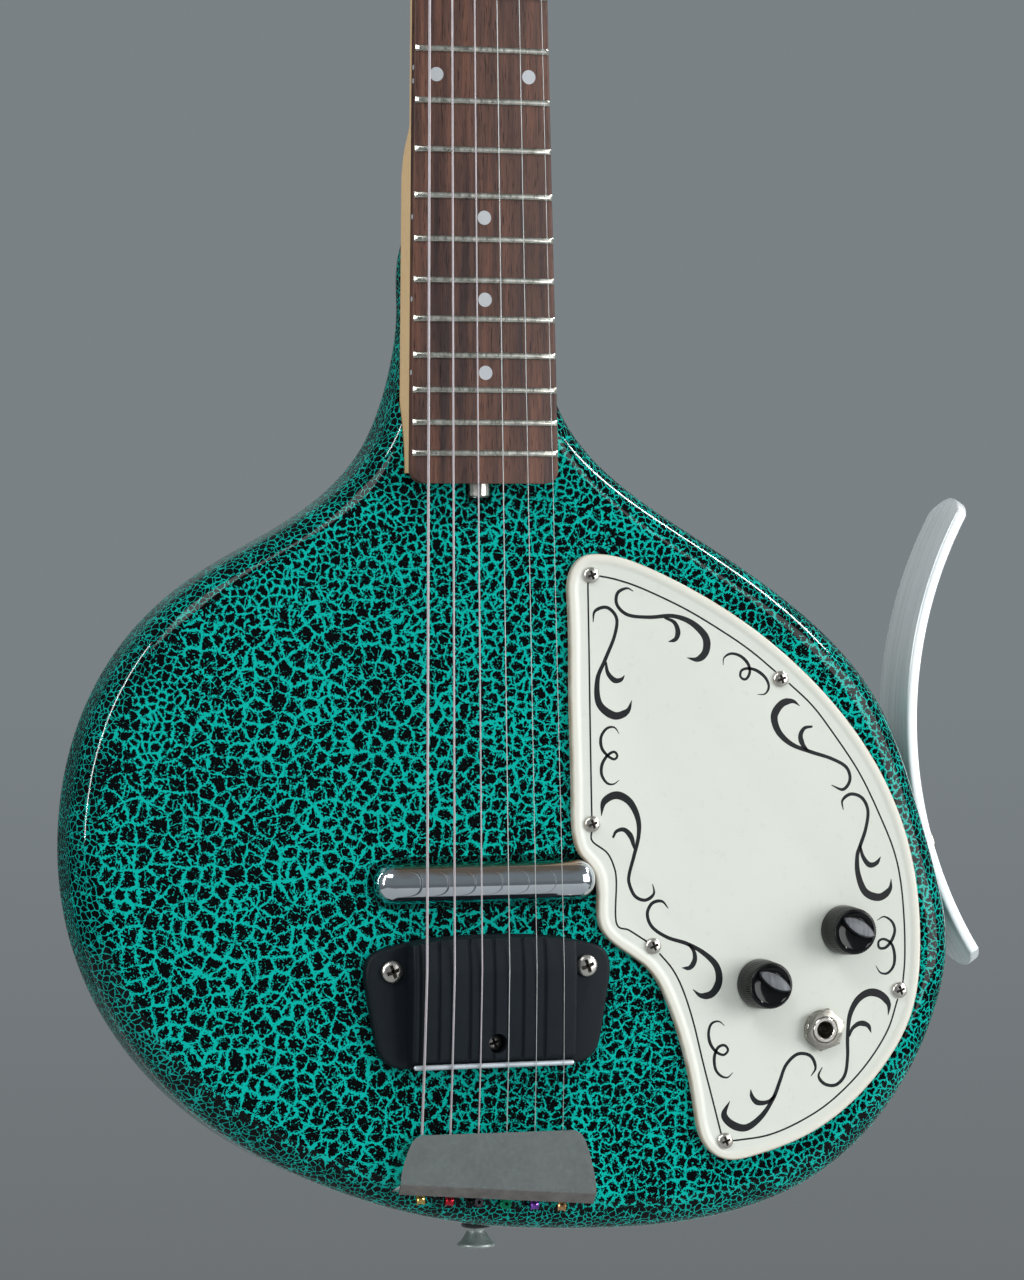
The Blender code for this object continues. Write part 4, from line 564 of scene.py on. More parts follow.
# A dark copy of the tailpiece's sheet metal: painted shade on the lip bent back under the cover.
lip_painted_shade = metal(
    "tailpiece_lip", (0.21, 0.20, 0.19), (0.14, 0.13, 0.125), (0.4, 0.5), tarnish=200, Metallic=0.5
)
BALL_LOOKS = (
    tinted("ball_gold", (0.75, 0.52, 0.16)), tinted("ball_red", (0.62, 0.03, 0.05)),
    tinted("ball_black", (0.012, 0.012, 0.014)), tinted("ball_green", (0.02, 0.42, 0.20)),
    tinted("ball_purple", (0.26, 0.10, 0.55)), tinted("ball_brass", (0.72, 0.42, 0.20)),
)


# Body
BODY_OUTLINE = (
    (0, 283), (-15.6, 276.5), (-22, 261), (-22.3, 243), (-25.2, 222), (-29.6, 207), (-36.7, 192),
    (-59.4, 169.3), (-97.6, 147.2), (-124, 125.4), (-144, 92.7), (-152.5, 50), (-149.2, 16),
    (-135.7, -17), (-106.6, -51), (-58.6, -79), (-17.7, -92.5), (42.6, -99.3), (110.3, -93.5),
    (135.9, -83), (162.9, -60), (182.8, -26), (189.3, 9), (186.2, 26), (176.4, 60), (162.5, 95),
    (128.4, 132), (89.5, 158), (56.6, 180), (37, 202), (30.5, 217), (24.5, 235), (22.2, 250),
    (21.6, 263), (15.6, 276.5),
)
CAVITY_OUTLINE = (
    (92, 8), (128, 32), (156, 27), (159, 2), (152, -24), (138, -46), (112, -44), (92, -25),
)
FRETBOARD_END_Z = fret_z(21) - 11 * MM
HEEL_END_Z = FRETBOARD_END_Z + 4 * MM
HEEL_DEPTH = 15.3 * MM


def body_piece():
    front = [(distance, FACE_Y + drop) for distance, drop in eased(12 * MM, 12)]
    back = [(distance, BACK_Y - drop) for distance, drop in reversed(eased(18 * MM, 12))]
    steps = [(12.8 * MM, FACE_Y)] + front + back + [(18.8 * MM, BACK_Y)]
    made = lofted("body_shell", rings_at(smooth_loop(on_body(BODY_OUTLINE), 8), steps))
    top_z, low_z = BRIDGE_Z + 293 * MM, HEEL_END_Z - GAP
    top, low = half_width(top_z) + GAP, half_width(low_z) + GAP
    pocket = ((-low, low_z), (low, low_z), (top, top_z), (-top, top_z))
    pocket = prism("pocket", pocket, -10 * MM, HEEL_DEPTH + GAP)
    well = block("well", (-5 * MM, -10 * MM, HEEL_END_Z - 11 * MM), (5 * MM, 10.25 * MM, HEEL_END_Z + 1 * MM))
    half, high = PICKUP_LENGTH / 2 + 1.6 * MM, PICKUP_RADIUS + 2 * MM
    slot = []
    for step in range(64):
        turn = 2 * math.pi * (step + 0.5) / 64
        slot.append((
            PICKUP_X + math.copysign(half - high, math.cos(turn)) + high * math.cos(turn),
            PICKUP_Z + high * math.sin(turn),
        ))
    slot = prism("slot", slot, -10 * MM, PICKUP_Y + PICKUP_RADIUS + GAP)
    cavity = prism("cavity", smooth_loop(on_body(CAVITY_OUTLINE), 5), -10 * MM, FACE_Y + 28 * MM)
    combine(made, [pocket, well, slot, cavity], "DIFFERENCE")
    return finished(made, lacquer, replaces=("body",))


body_piece()


# Neck, headstock, fretboard and frets
NUT_THICKNESS = 4 * MM
HEAD_DROP, HEAD_THICKNESS, HEAD_LENGTH, HEAD_HALF_WIDTH = 5.5 * MM, 13 * MM, 166 * MM, 35 * MM
HEAD_BACK_Y = HEAD_DROP + HEAD_THICKNESS
POST_OFFSET, FIRST_POST_Z, POST_SPACING = 21 * MM, 44 * MM, 39 * MM
posts = [
    (side, Vector((side * POST_OFFSET, 0, FIRST_POST_Z + POST_SPACING * row)))
    for side in (-1, 1) for row in range(3)
]


def neck_ring(z, width, top_y, low_y, squareness):
    ring = []
    for step in range(41):
        turn = math.pi * step / 40
        across = math.copysign(abs(math.cos(turn)) ** (2 / squareness), math.cos(turn))
        deep = math.sin(turn) ** (2 / squareness) if 0 < step < 40 else 0
        ring.append((-width * across, top_y + (low_y - top_y) * deep, z))
    return ring


def head_outline():
    root_z = NUT_THICKNESS + 13.5 * MM
    span = NUT_THICKNESS + HEAD_LENGTH - root_z
    side = [(half_width(0) * 1.05, root_z)]
    side += [
        (HEAD_HALF_WIDTH * across, root_z + span * along) for across, along in
        ((0.78, 0.05), (0.94, 0.14), (1, 0.27), (1, 0.54), (0.97, 0.78), (0.82, 0.95), (0.42, 0.99))
    ]
    low, tip = [(0, root_z - 0.01 * span)], [(0, root_z + span)]
    return smooth_loop(side + tip + [(-x, z) for x, z in reversed(side)] + low, 8)


def neck_piece():
    rings = [neck_ring(HEEL_END_Z, half_width(HEEL_END_Z), 0, HEEL_DEPTH, 12)]
    for step in range(17):
        z = HEEL_END_Z + 104 * MM + 24 * MM * step / 16
        rings.append(neck_ring(z, half_width(z), 0, HEEL_DEPTH, blend(12, 2.2, step / 16)))
    rings.append(neck_ring(0, half_width(0), 0, 13.5 * MM, 2.2))
    for step in range(13):
        share = step / 12
        z = NUT_THICKNESS + 2 * GAP + 18 * MM * share
        low_y = blend(13.5 * MM, HEAD_BACK_Y, share + 0.1)
        width = half_width(0) * blend(1, 1.12, share)
        rings.append(neck_ring(z, width, blend(0, HEAD_DROP, share), low_y, blend(2.2, 6, share)))
    made = lofted("neck_wood", rings)
    ease = eased(1.6 * MM, 4)
    steps = [(distance, HEAD_DROP + drop) for distance, drop in ease]
    steps += [(distance, HEAD_BACK_Y - drop) for distance, drop in reversed(ease)]
    head = lofted("head", rings_at(head_outline(), steps))
    combine(made, [head], "UNION")
    holes = [
        rod("hole", 3.35 * MM, spot - Vector((0, 5 * MM, 0)), spot + Vector((0, 25 * MM, 0)))
        for _, spot in posts
    ]
    combine(made, [joined(holes)], "DIFFERENCE")
    return finished(made, neck_wood, replaces=("neck",))


def crown_y(x):
    return 0.355 - math.sqrt(0.355**2 - x**2) - GAP - 4.6 * MM


def board_ring(z, width):
    ring = [(width, -GAP, z)]
    for across, drop in reversed(eased(0.8 * MM, 4)):
        x = width - across
        ring.append((x, crown_y(x) + drop, z))
    ring += [(width * share, crown_y(width * share), z) for share in numpy.linspace(0.95, 0, 12)]
    return [(-x, y, z) for x, y, z in ring] + list(reversed(ring[:-1]))


def fretboard_piece():
    rings = [board_ring(0, half_width(0))]
    for step in range(13):
        turn = math.pi / 2 * step / 12
        z = FRETBOARD_END_Z + 5 * MM * (1 - math.sin(turn))
        rings.append(board_ring(z, half_width(z) - 5 * MM * (1 - math.cos(turn))))
    return finished(lofted("fretboard_wood", rings), board_wood, replaces=("fretboard",))


def fret(number):
    """A rounded bar over the crown, its ends filed to a slope."""
    z, half = fret_z(number), half_width(fret_z(number)) - 0.35 * MM
    rings = []
    for share in (-1, -0.985, -0.96, -0.7, -0.4, 0, 0.4, 0.7, 0.96, 0.985, 1):
        x, height = half * share, 1.1 * MM * min(1, 0.25 + (1 - abs(share)) / 0.04 * 0.75)
        ring = [(x, crown_y(x) + 1.2 * MM, z - 1.2 * MM), (x, crown_y(x) + 1.2 * MM, z + 1.2 * MM)]
        for step in range(9):
            turn = math.pi * step / 8
            ring.append((x, crown_y(x) - height * math.sin(turn) ** 0.8, z + 1.2 * MM * math.cos(turn)))
        rings.append(ring)
    return lofted("fret", rings)


def inlay(number, x):
    z = (fret_z(number) + fret_z(number - 1)) / 2
    turns = [2 * math.pi * step / 32 for step in range(32)]
    rim = [(x + 2.6 * MM * math.cos(turn), z + 2.6 * MM * math.sin(turn)) for turn in turns]
    rings = [[(x, crown_y(x) + y, z) for x, z in rim] for y in (-0.03 * MM, 1 * MM)]
    return lofted("inlay", rings)


def side_dot(number, lift=0.0):
    z = (fret_z(number) + fret_z(number - 1)) / 2 + lift
    edge = -half_width(z)
    return rod("dot", 1 * MM, (edge + 1 * MM, -2.4 * MM, z), (edge - 0.02 * MM, -2.4 * MM, z), 20)


neck_piece()
fretboard_piece()
finished(joined([fret(number) for number in range(1, 22)], "frets"), fret_metal)
inlays = [inlay(number, 0) for number in (3, 5, 7, 9, 15, 17, 19)]
inlays += [inlay(12, side * 17.7 * MM) for side in (-1, 1)]
inlays += [side_dot(number) for number in (3, 5, 7, 9, 15, 17, 19)]
inlays += [side_dot(12, side * 2.5 * MM) for side in (-1, 1)]
finished(joined(inlays, "dots"), pearl)


# Screws with domed, cross-slotted heads and a dark brown fill down in their slots, which is painted shade
slot_shade_fill = []


def slot_bar(levels, reach, half, place):
    """A bar through (height, share of its full size) levels, for one arm of a cross slot."""
    rings = []
    for rise, share in levels:
        rings.append([
            (along * reach * share, across * half * share ** 0.5, rise)
            for along, across in ((-1, -1), (1, -1), (1, 1), (-1, 1))
        ])
    return lofted("bar", rings, place)


def cross_screw(name, seat, direction, head, height, shank, length):
    profile = [(0, -length), (shank * 0.3, -length + shank), (shank, -length + 5 * shank), (shank, -0.1 * MM)]
    profile += [(head * 0.96, -0.1 * MM), (head, 0.05 * MM)]
    for step in range(1, 9):
        turn = math.pi / 2 * step / 8
        profile.append((head * math.cos(turn) ** 0.75, 0.18 * height + 0.82 * height * math.sin(turn)))
    profile[-1] = (0, height)
    place = facing(Vector(seat) + GAP * Vector(direction), direction)
    made = turned(f"{name}_shape", profile, place, 40)
    reach, half = head * 0.6, head * 0.16
    bars = []
    for turn in (0.35, 0.35 + math.pi / 2):
        arm = place @ Matrix.Rotation(turn, 4, "Z")
        bars.append(slot_bar(((height + 1 * MM, 1.3), (height * 0.2, 0.7)), reach, half, arm))
        # A dark fill down in the slot arm: painted shade.
        slot_shade_fill.append(slot_bar(((height * 0.5, 0.78), (height * 0.1, 0.66)), reach, half, arm))
    combine(made, bars, "DIFFERENCE")
    return finished(made, nickel, replaces=(name,), angle=40)


# Each screw's head radius and height, shank radius and length
GUARD_SCREW = (3.024 * MM, 1.5 * MM, 1.2 * MM, 12 * MM)
BRIDGE_SCREW = (4.144 * MM, 2.2 * MM, 1.6 * MM, 18 * MM)
SUNK_SCREW = (3.36 * MM, 1.8 * MM, 1.4 * MM, 18 * MM)
TAIL_SCREW = (3.36 * MM, 1.8 * MM, 1.5 * MM, 16 * MM)
NECK_SCREW = (5.04 * MM, 2.4 * MM, 2.2 * MM, 41 * MM)
LEG_REST_SCREW = (4.48 * MM, 2.2 * MM, 1.8 * MM, 24 * MM)


def named_screws(stem, direction, sizes):
    """A dressed screw for each packed one, seated where that one's head begins."""
    for name in sorted(node for node in frame["nodes"] if node.startswith(stem)):
        low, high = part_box(name)
        middle = (low + high) / 2
        outer = high if direction.x + direction.y + direction.z > 0 else low
        axis = [abs(part) > 0.5 for part in direction]
        spot = Vector([outer[i] if axis[i] else middle[i] for i in range(3)])
        cross_screw(name, spot - direction * (sizes[1] + GAP), direction, *sizes)


named_screws("pickguard_screw", FACE_OUT, GUARD_SCREW)
named_screws("tailpiece_screw", FACE_OUT, TAIL_SCREW)
named_screws("neck_screw", BACK_OUT, NECK_SCREW)
for number in (1, 2):
    named_screws(f"bridge_screw_{number}", FACE_OUT, BRIDGE_SCREW)
named_screws("bridge_screw_3", FACE_OUT, SUNK_SCREW)


# Leg rest: a bowed band with rounded ends
REST_RADIUS, REST_THICKNESS, REST_HALF_DEPTH = 166 * MM, 4.4 * MM, 14 * MM
REST_MIDDLE = Vector((342.1 * MM, 33.5 * MM, -548.3 * MM))
rest_out = Vector((0.96, 0, 0.28)).normalized()


def leg_rest():
    """Rings of rounded sections along the curve; the ends are half circles."""
    full, lowered, bulge = math.radians(33.1), math.radians(1.3), 6.3 * MM
    end_radius = (REST_HALF_DEPTH**2 + bulge**2) / (2 * bulge)
    turns = [math.asin(REST_HALF_DEPTH / end_radius) * step / 14 for step in range(1, 15)]
    stations = [
        (end_radius * (1 - math.cos(turn)) / REST_RADIUS - full, end_radius * math.sin(turn))
        for turn in turns
    ]
    straight = full - bulge / REST_RADIUS
    stations += [(straight * share, REST_HALF_DEPTH) for share in numpy.linspace(-1, 1, 66)[1:-1]]
    stations += [(-angle, depth) for angle, depth in reversed(stations[:14])]
    rings = []
    for angle, depth in stations:
        angle -= lowered
        ease = eased(min(0.8 * MM, depth * 0.5), 3)
        near, far = REST_RADIUS, REST_RADIUS - REST_THICKNESS
        quarter = [(near - drop, depth - across) for across, drop in ease]
        quarter += [(far + drop, depth - across) for across, drop in reversed(ease)]
        section = quarter + [(r, -y) for r, y in reversed(quarter)]
        rings.append([
            (REST_MIDDLE.x - r * math.cos(angle), REST_MIDDLE.y + y, REST_MIDDLE.z + r * math.sin(angle))
            for r, y in section
        ])
    made = lofted("leg_rest_band", rings)
    seats = [
        Vector((REST_MIDDLE.x, REST_MIDDLE.y + side * 7 * MM, REST_MIDDLE.z))
        - rest_out * (REST_RADIUS - REST_THICKNESS) for side in (-1, 1)
    ]
    holes = [rod("hole", 2.6 * MM, seat - rest_out * 8 * MM, seat + rest_out * 3 * MM, 32) for seat in seats]
    combine(made, [joined(holes)], "DIFFERENCE")
    finished(made, aluminium, replaces=("leg_rest",))
    for number, seat in enumerate(seats, 1):
        cross_screw(f"leg_rest_screw_{number}", seat, rest_out, *LEG_REST_SCREW)


leg_rest()
# The slot fills of all screws, painted shade, in one piece.
finished(joined(slot_shade_fill, "screw_slot_painted_shade"), slot_shade_look)


# Pickguard with its moulded rim
GUARD_OUTLINE = (
    (39.8, 151.2), (46.2, 152), (68.6, 145.5), (102.7, 126.8), (135.4, 99.3), (159.8, 65.6),
    (171, 33.4), (173.4, 4.4), (169.2, -23.1), (156, -44.1), (131.5, -64.1), (103.4, -73.8),
    (94.5, -74.4), (86.7, -69.8), (81.7, -53.8), (72.4, -17.4), (63.5, -1.9), (50.5, 7.5),
    (45.6, 13), (44.2, 22.3), (42.6, 35), (37.4, 41.2), (35.1, 48), (34.6, 60), (34, 100.6),
    (33.7, 133.6), (34.7, 145.5),
)
GUARD_SCREW_PLACES = (
    (42.4, 144.2), (117.3, 105), (42, 52.1), (65.6, 6.3), (164.5, -13.2), (93.5, -67.3),
)
KNOB_PLACES = {"volume": (141.9, 10.2), "tone": (108, -9)}
JACK_PLACE = (132.9, -27)
GUARD_BACK_Y, GUARD_FRONT_Y, GUARD_RIM_Y = FACE_Y - GAP, 1.9 * MM, 1.4 * MM


def guard_piece():
    loop = smooth_loop(on_body(GUARD_OUTLINE), 12)
    steps = [(0, GUARD_BACK_Y)]
    steps += [(distance, GUARD_RIM_Y + drop) for distance, drop in reversed(eased(0.9 * MM, 6))]
    steps.append((2.1 * MM, GUARD_RIM_Y))
    for share in (0.2, 0.4, 0.6, 0.8, 1):
        steps.append(((2.1 + 2.3 * share) * MM, blend(GUARD_RIM_Y, GUARD_FRONT_Y, share)))
    made = lofted("guard_plate", rings_at(loop, steps))
    holes = []
    for radius, spots in ((1.5, GUARD_SCREW_PLACES), (4.9, KNOB_PLACES.values()), (5.05, (JACK_PLACE,))):
        for spot in spots:
            holes.append(rod("hole", radius * MM, place_on(-1 * MM, spot), place_on(6 * MM, spot), 40))
    combine(made, [joined(holes)], "DIFFERENCE")
    rim = numpy.array(loop)
    share = made.data.attributes.new("edge_share", "FLOAT", "POINT")
    for vertex, value in zip(made.data.vertices, share.data):
        gap = numpy.hypot(rim[:, 0] - vertex.co.x, rim[:, 1] - vertex.co.z).min()
        value.value = max(0, 1 - gap / (4.4 * MM))
    return finished(made, cream, replaces=("pickguard",))


# Scrolled ornament on the pickguard: each stroke swells once and runs out to a point
SCROLLS = (
    ("end", ((43.1, 126.8), (43.9, 130.9), (48.6, 132.2), (52.3, 128.3), (51.5, 121.7), (47.7, 112.8),
             (44.7, 105.7), (45.2, 96.7), (51, 92.1), (56.2, 93.6), (58.1, 97.7))),
    ("end", ((59, 138.2), (56.4, 139.3), (52.8, 137.5), (52.6, 133.1), (56.9, 129.4), (65.4, 128.5),
             (74.5, 128.9), (82, 126.3), (87.4, 121), (87.5, 115.6), (84.3, 112.7), (80, 113.3))),
    ("start", ((125, 94.8), (122.1, 96.6), (117.8, 95.7), (114.7, 91.1), (116.4, 85.2), (121.5, 80.5),
               (129.2, 77.5), (137.4, 74.9), (143.6, 71.5), (145.1, 66.7), (142.3, 63.1), (137.6, 64.8))),
    ("end", ((142.3, 55.4), (142, 59), (145.4, 61.3), (149.9, 59.8), (152.3, 55), (151.4, 48.2),
             (149, 41.6), (147.8, 37.7), (148.1, 31), (151, 24.2), (156.7, 22.1), (160.9, 24.9),
             (161.6, 28.9))),
    ("start", ((45.7, 55), (46.9, 60.3), (51.8, 62.6), (57, 59.9), (60.1, 53.7), (60.3, 47.3),
               (58.4, 39.8), (56.5, 33.2), (56.5, 29.6), (58.7, 25), (62.7, 23.4), (66.1, 25.6),
               (65.7, 29.3))),
    ("end", ((71.8, 20.1), (69.3, 22.8), (65.5, 22.2), (63.5, 18.3), (65.4, 13.3), (71.4, 9.3),
             (79, 6.8), (85.5, 3.2), (90.6, -1.7), (91.7, -7.5), (89, -12.1), (84.6, -12.8),
             (81.3, -10.4))),
    ("end", ((128.3, -44.5), (130.2, -41.3), (128.2, -36.9), (123, -36), (118.3, -39.9), (115.7, -46),
             (113.1, -52.1), (108.4, -58.6), (102.3, -62.7), (96.7, -61.5), (93.3, -57.6),
             (95.6, -52.6))),
    ("start", ((159.9, -22.6), (160.1, -18.3), (156.9, -14.8), (152.2, -13.8), (147.5, -16.4),
               (144.3, -22.1), (143.3, -30.2), (143.2, -37.9), (142, -44.6), (138.4, -48.1),
               (134, -47.7), (131.4, -44.7), (132.9, -41.3))),
    ("mid", ((48, 112), (48.7, 108), (51.3, 105.2), (53.9, 105.4), (55.3, 107))),
    ("mid", ((71.2, 128.3), (75, 126.6), (76.5, 123.2), (75.6, 120.3), (72.7, 119.3))),
    ("mid", ((130.1, 87), (126.8, 86.4), (125.2, 83.5), (126.3, 79.9), (128.7, 77.7))),
    ("mid", ((149, 42), (150.1, 37.7), (152.6, 34.5), (155.5, 34.9), (157.4, 37.4))),
    ("mid", ((50.2, 46.8), (51.6, 49.2), (54.7, 49.7), (57.4, 46.9), (58.6, 42.1))),
    ("mid", ((79.7, 6.5), (81.8, 3.8), (82.1, 0.5), (80.2, -2.2), (77, -2.2))),
    ("mid", ((113.8, -51), (111, -53.4), (106.9, -53.6), (104.6, -51.4), (104, -48.5))),
    ("mid", ((143.9, -30.1), (145.4, -27), (148.4, -25.3), (151.6, -26.2), (152.9, -29))),
    ("curl", ((53, 85.3), (51.2, 87.7), (48.2, 87.4), (45.9, 84.3), (46.1, 80.2), (48.5, 77.2),
              (51.1, 75.9), (52.2, 77.2), (50.9, 78.7), (48.3, 77.3), (46.2, 74.1), (46, 70.3),
              (48, 67.2), (50.6, 66.7), (52.9, 68.2))),
    ("curl", ((94.4, 110.4), (94.8, 113.2), (97.7, 114.7), (101.4, 113.7), (104.3, 110.9), (105, 107.5),
              (103.3, 105), (101.3, 106), (101.7, 108.3), (104.3, 109.1), (107.9, 108.2),
              (111.3, 105.5), (112.6, 102.1), (111.1, 99.5), (108.1, 99.3))),
    ("curl", ((155.8, 13.4), (158.5, 14.7), (161.6, 12.9), (162.9, 9.6), (161.7, 5.8), (159.1, 3),
              (156.5, 3), (156.3, 5.4), (158.6, 6.2), (161.5, 4.3), (162.7, 0.4), (162.3, -3.9),
              (159.8, -6.7), (156.9, -6.4), (155, -3.7))),
    ("curl", ((93.8, -24.3), (91.4, -22.6), (88.6, -23.4), (87.4, -26.6), (88, -30.7), (90.3, -33.9),
              (93.3, -35.2), (95.1, -33.5), (93.6, -31.6), (91, -32.5), (89.6, -36), (90, -40.3),
              (92, -42.9), (94.8, -43.7), (97, -41.9))),
    ("line", ((41.2, 141.6), (41.5, 110), (41.7, 81.7), (42, 54.3))),
    ("line", ((42, 50), (42.1, 45.8), (47.8, 41.4), (50.5, 36.2), (51.4, 30.5), (51.3, 15.3),
              (56.3, 12.4), (62.3, 8.6), (64, 7.5))),
    ("line", ((68.1, 3.5), (73.3, -2.6), (77.3, -10.3), (81.3, -22.3), (85.2, -38.2), (89.1, -53.1),
              (92.1, -64.8))),
    ("line", ((96.3, -67.5), (111.3, -65.8), (125.5, -60.5), (137.6, -53.2), (149.9, -41.9),
              (159.3, -28.9), (163.9, -16.5))),
    ("line", ((166, -10.8), (166.9, -1.1), (166.8, 12.4), (165.6, 26.9), (163.1, 38.6), (158, 51.2),
              (148.8, 69.5), (136.5, 87), (129.3, 95.7), (120.6, 103.5))),
    ("line", ((115.5, 107.7), (104.9, 116.1), (92.7, 124), (78.5, 132), (62.5, 139.2), (52.5, 142.5),
              (45.7, 143.9))),
)
STROKE_WIDTHS = {
    "end": (
        (0, 0.3), (0.08, 1.25), (0.35, 1.3), (0.55, 1.55), (0.7, 2.4), (0.82, 3), (0.91, 2.6), (1, 0.2),
    ),
    "start": (
        (0, 0.2), (0.09, 2.6), (0.18, 3), (0.3, 2.4), (0.45, 1.55), (0.65, 1.3), (0.92, 1.25), (1, 0.3),
    ),
    "mid": ((0, 0.8), (0.35, 1.6), (0.62, 2.1), (0.85, 1.45), (1, 0.2)),
    "curl": ((0, 0.2), (0.12, 0.95), (0.28, 1.25), (0.5, 0.9), (0.72, 1.25), (0.88, 0.95), (1, 0.2)),
    "line": ((0, 0.5), (0.01, 0.66), (0.99, 0.66), (1, 0.5)),
}


def stroke(kind, points):
    """A ribbon with its top just above the pickguard's face."""
    curve = open_curve(points)
    along = numpy.gradient(curve, axis=0)
    along /= numpy.hypot(along[:, 0], along[:, 1])[:, None]
    across = numpy.stack([-along[:, 1], along[:, 0]], axis=1)
    run = numpy.concatenate([[0], numpy.cumsum(numpy.hypot(*numpy.diff(curve, axis=0).T))])
    widths = numpy.interp(run / run[-1], *zip(*STROKE_WIDTHS[kind]))[:, None]
    sides = [on_body(curve + across * widths * side) for side in (-0.5, 0.5)]
    top, low = GUARD_FRONT_Y - 0.04 * MM, GUARD_FRONT_Y + 0.1 * MM
    rings = []
    for (left_x, left_z), (right_x, right_z) in zip(*sides):
        rings.append([
            (left_x, low, left_z), (left_x, top, left_z), (right_x, top, right_z), (right_x, low, right_z),
        ])
    return lofted("stroke", rings)


guard_piece()
finished(joined([stroke(*scroll) for scroll in SCROLLS], "guard_ornament"), ink)


# Knobs: a smooth skirt, a finely notched upper edge, a dished top and a bar across it
def knob(name, spot):
    place = facing(place_on(GUARD_FRONT_Y, spot), FACE_OUT)
    count, ridges = 240, 60
    heights = (
        (0.6, 9.2, 0), (0.9, 9.4, 0), (3, 9.28, 0), (5.2, 9.12, 0), (5.8, 9.07, 1), (11.3, 8.72, 1),
        (12.0, 8.5, 1), (12.35, 8.15, 0.5), (12.5, 7.8, 0), (12.5, 7.3, 0), (12.1, 6.8, 0),
        (11.9, 6.3, 0), (11.85, 3, 0), (11.85, 0.5, 0),
    )
    rings = []
    for height, radius, notched in heights:
        ring = []
        for step in range(count):
            turn = 2 * math.pi * step / count
            reach = (radius - 0.28 * notched * (0.5 + 0.5 * math.cos(ridges * turn)) ** 2) * MM
            ring.append((reach * math.cos(turn), reach * math.sin(turn), height * MM))
        rings.append(ring)
    made = lofted(f"{name}_knob_shape", rings, place)
    turn = Matrix.Rotation(math.radians(-30), 4, "Z")

    def ridge(name, reach, half, low, high):
        """A lens-shaped ridge across the top, its crown sloping to one side."""
        edge = []
        for step in range(33):
            share = -1 + step / 16
            edge.append((reach * share, half * (1 - share * share) ** 0.8 + 0.05 * MM))
        loop = edge + [(x, -y) for x, y in reversed(edge)]
        rings = [[(x, y + 2 * MM, low) for x, y in loop]]
        for rise, share in ((high - 0.2 * MM, 1), (high, 0.94)):
            rings.append([(x * share, y * share + 2 * MM, rise - 0.1 * y) for x, y in loop])
        return lofted(name, rings, place @ turn)

    combine(made, [ridge("bar", 7.7 * MM, 2.9 * MM, 11 * MM, 13.6 * MM)], "UNION")
    facet = ridge("facet", 7.1 * MM, 2.4 * MM, 13.0 * MM, 13.75 * MM)
    finished(facet, satin, f"{name}_control")
    hollow = turned("hollow", ((0, -1 * MM), (5.5 * MM, -1 * MM), (5.5 * MM, 3.9 * MM), (0, 3.9 * MM)), place)
    bore = turned("bore", ((0, 0), (3.3 * MM, 0), (3.3 * MM, 11.3 * MM), (0, 11.3 * MM)), place)
    combine(made, [hollow, bore], "DIFFERENCE")
    finished(made, gloss_black, f"{name}_control", (f"{name}_knob",))


for name, spot in KNOB_PLACES.items():
    knob(name, spot)


# Output jack: threaded bushing, washer and six-sided nut
def jack_pieces():
    place = facing(place_on(GUARD_BACK_Y + GAP, JACK_PLACE), BACK_OUT)
    top = 6.6 * MM
    thread = []
    for step in range(14):
        height = -2.6 * MM - (top - 2.9 * MM) * step / 13
        thread.append(((4.75 if step % 2 else 4.5) * MM, height))
    profile = [(0, 24 * MM), (6 * MM, 24 * MM), (6 * MM, 0), (4.7 * MM, 0)] + thread
    profile += [(4.4 * MM, -top), (3.5 * MM, -top), (3.2 * MM, 0.3 * MM - top)]
    profile += [(3.2 * MM, 22 * MM), (0, 22 * MM)]
    finished(turned("jack_socket", profile, place), nickel, replaces=("output_jack",))
    seat = facing(place_on(GUARD_FRONT_Y - GAP, JACK_PLACE), FACE_OUT)
    profile = ((5.05, 0), (7.2, 0), (7.4, 0.15), (7.35, 0.6), (7.1, 0.7), (5.05, 0.7))
    profile = [(radius * MM, height * MM) for radius, height in profile]
    washer = turned("jack_washer", profile, seat)
    outline = []
    for step in range(72):
        turn = 2 * math.pi * step / 72
        flat = 8.2 * MM * math.cos(math.pi / 6) / math.cos((turn + math.pi / 6) % (math.pi / 3) - math.pi / 6)
        outline.append((turn - math.radians(12), flat))
    rings = []
    for height, limit in ((0.7, 7.7), (1.0, 8.2), (2.5, 8.2), (2.85, 7.7), (3.0, 7.0)):
        rings.append([
            (min(flat, limit * MM) * math.cos(turn), min(flat, limit * MM) * math.sin(turn), height * MM)
            for turn, flat in outline
        ])
    nut = lofted("nut", rings, seat)
    ends = place_on(8 * MM, JACK_PLACE), place_on(-8 * MM, JACK_PLACE)
    combine(nut, [rod("hole", 5.05 * MM, *ends, 64)], "DIFFERENCE")
    finished(joined([washer, nut], "jack_hex_nut"), dull_jack, replaces=("jack_nut",))


jack_pieces()


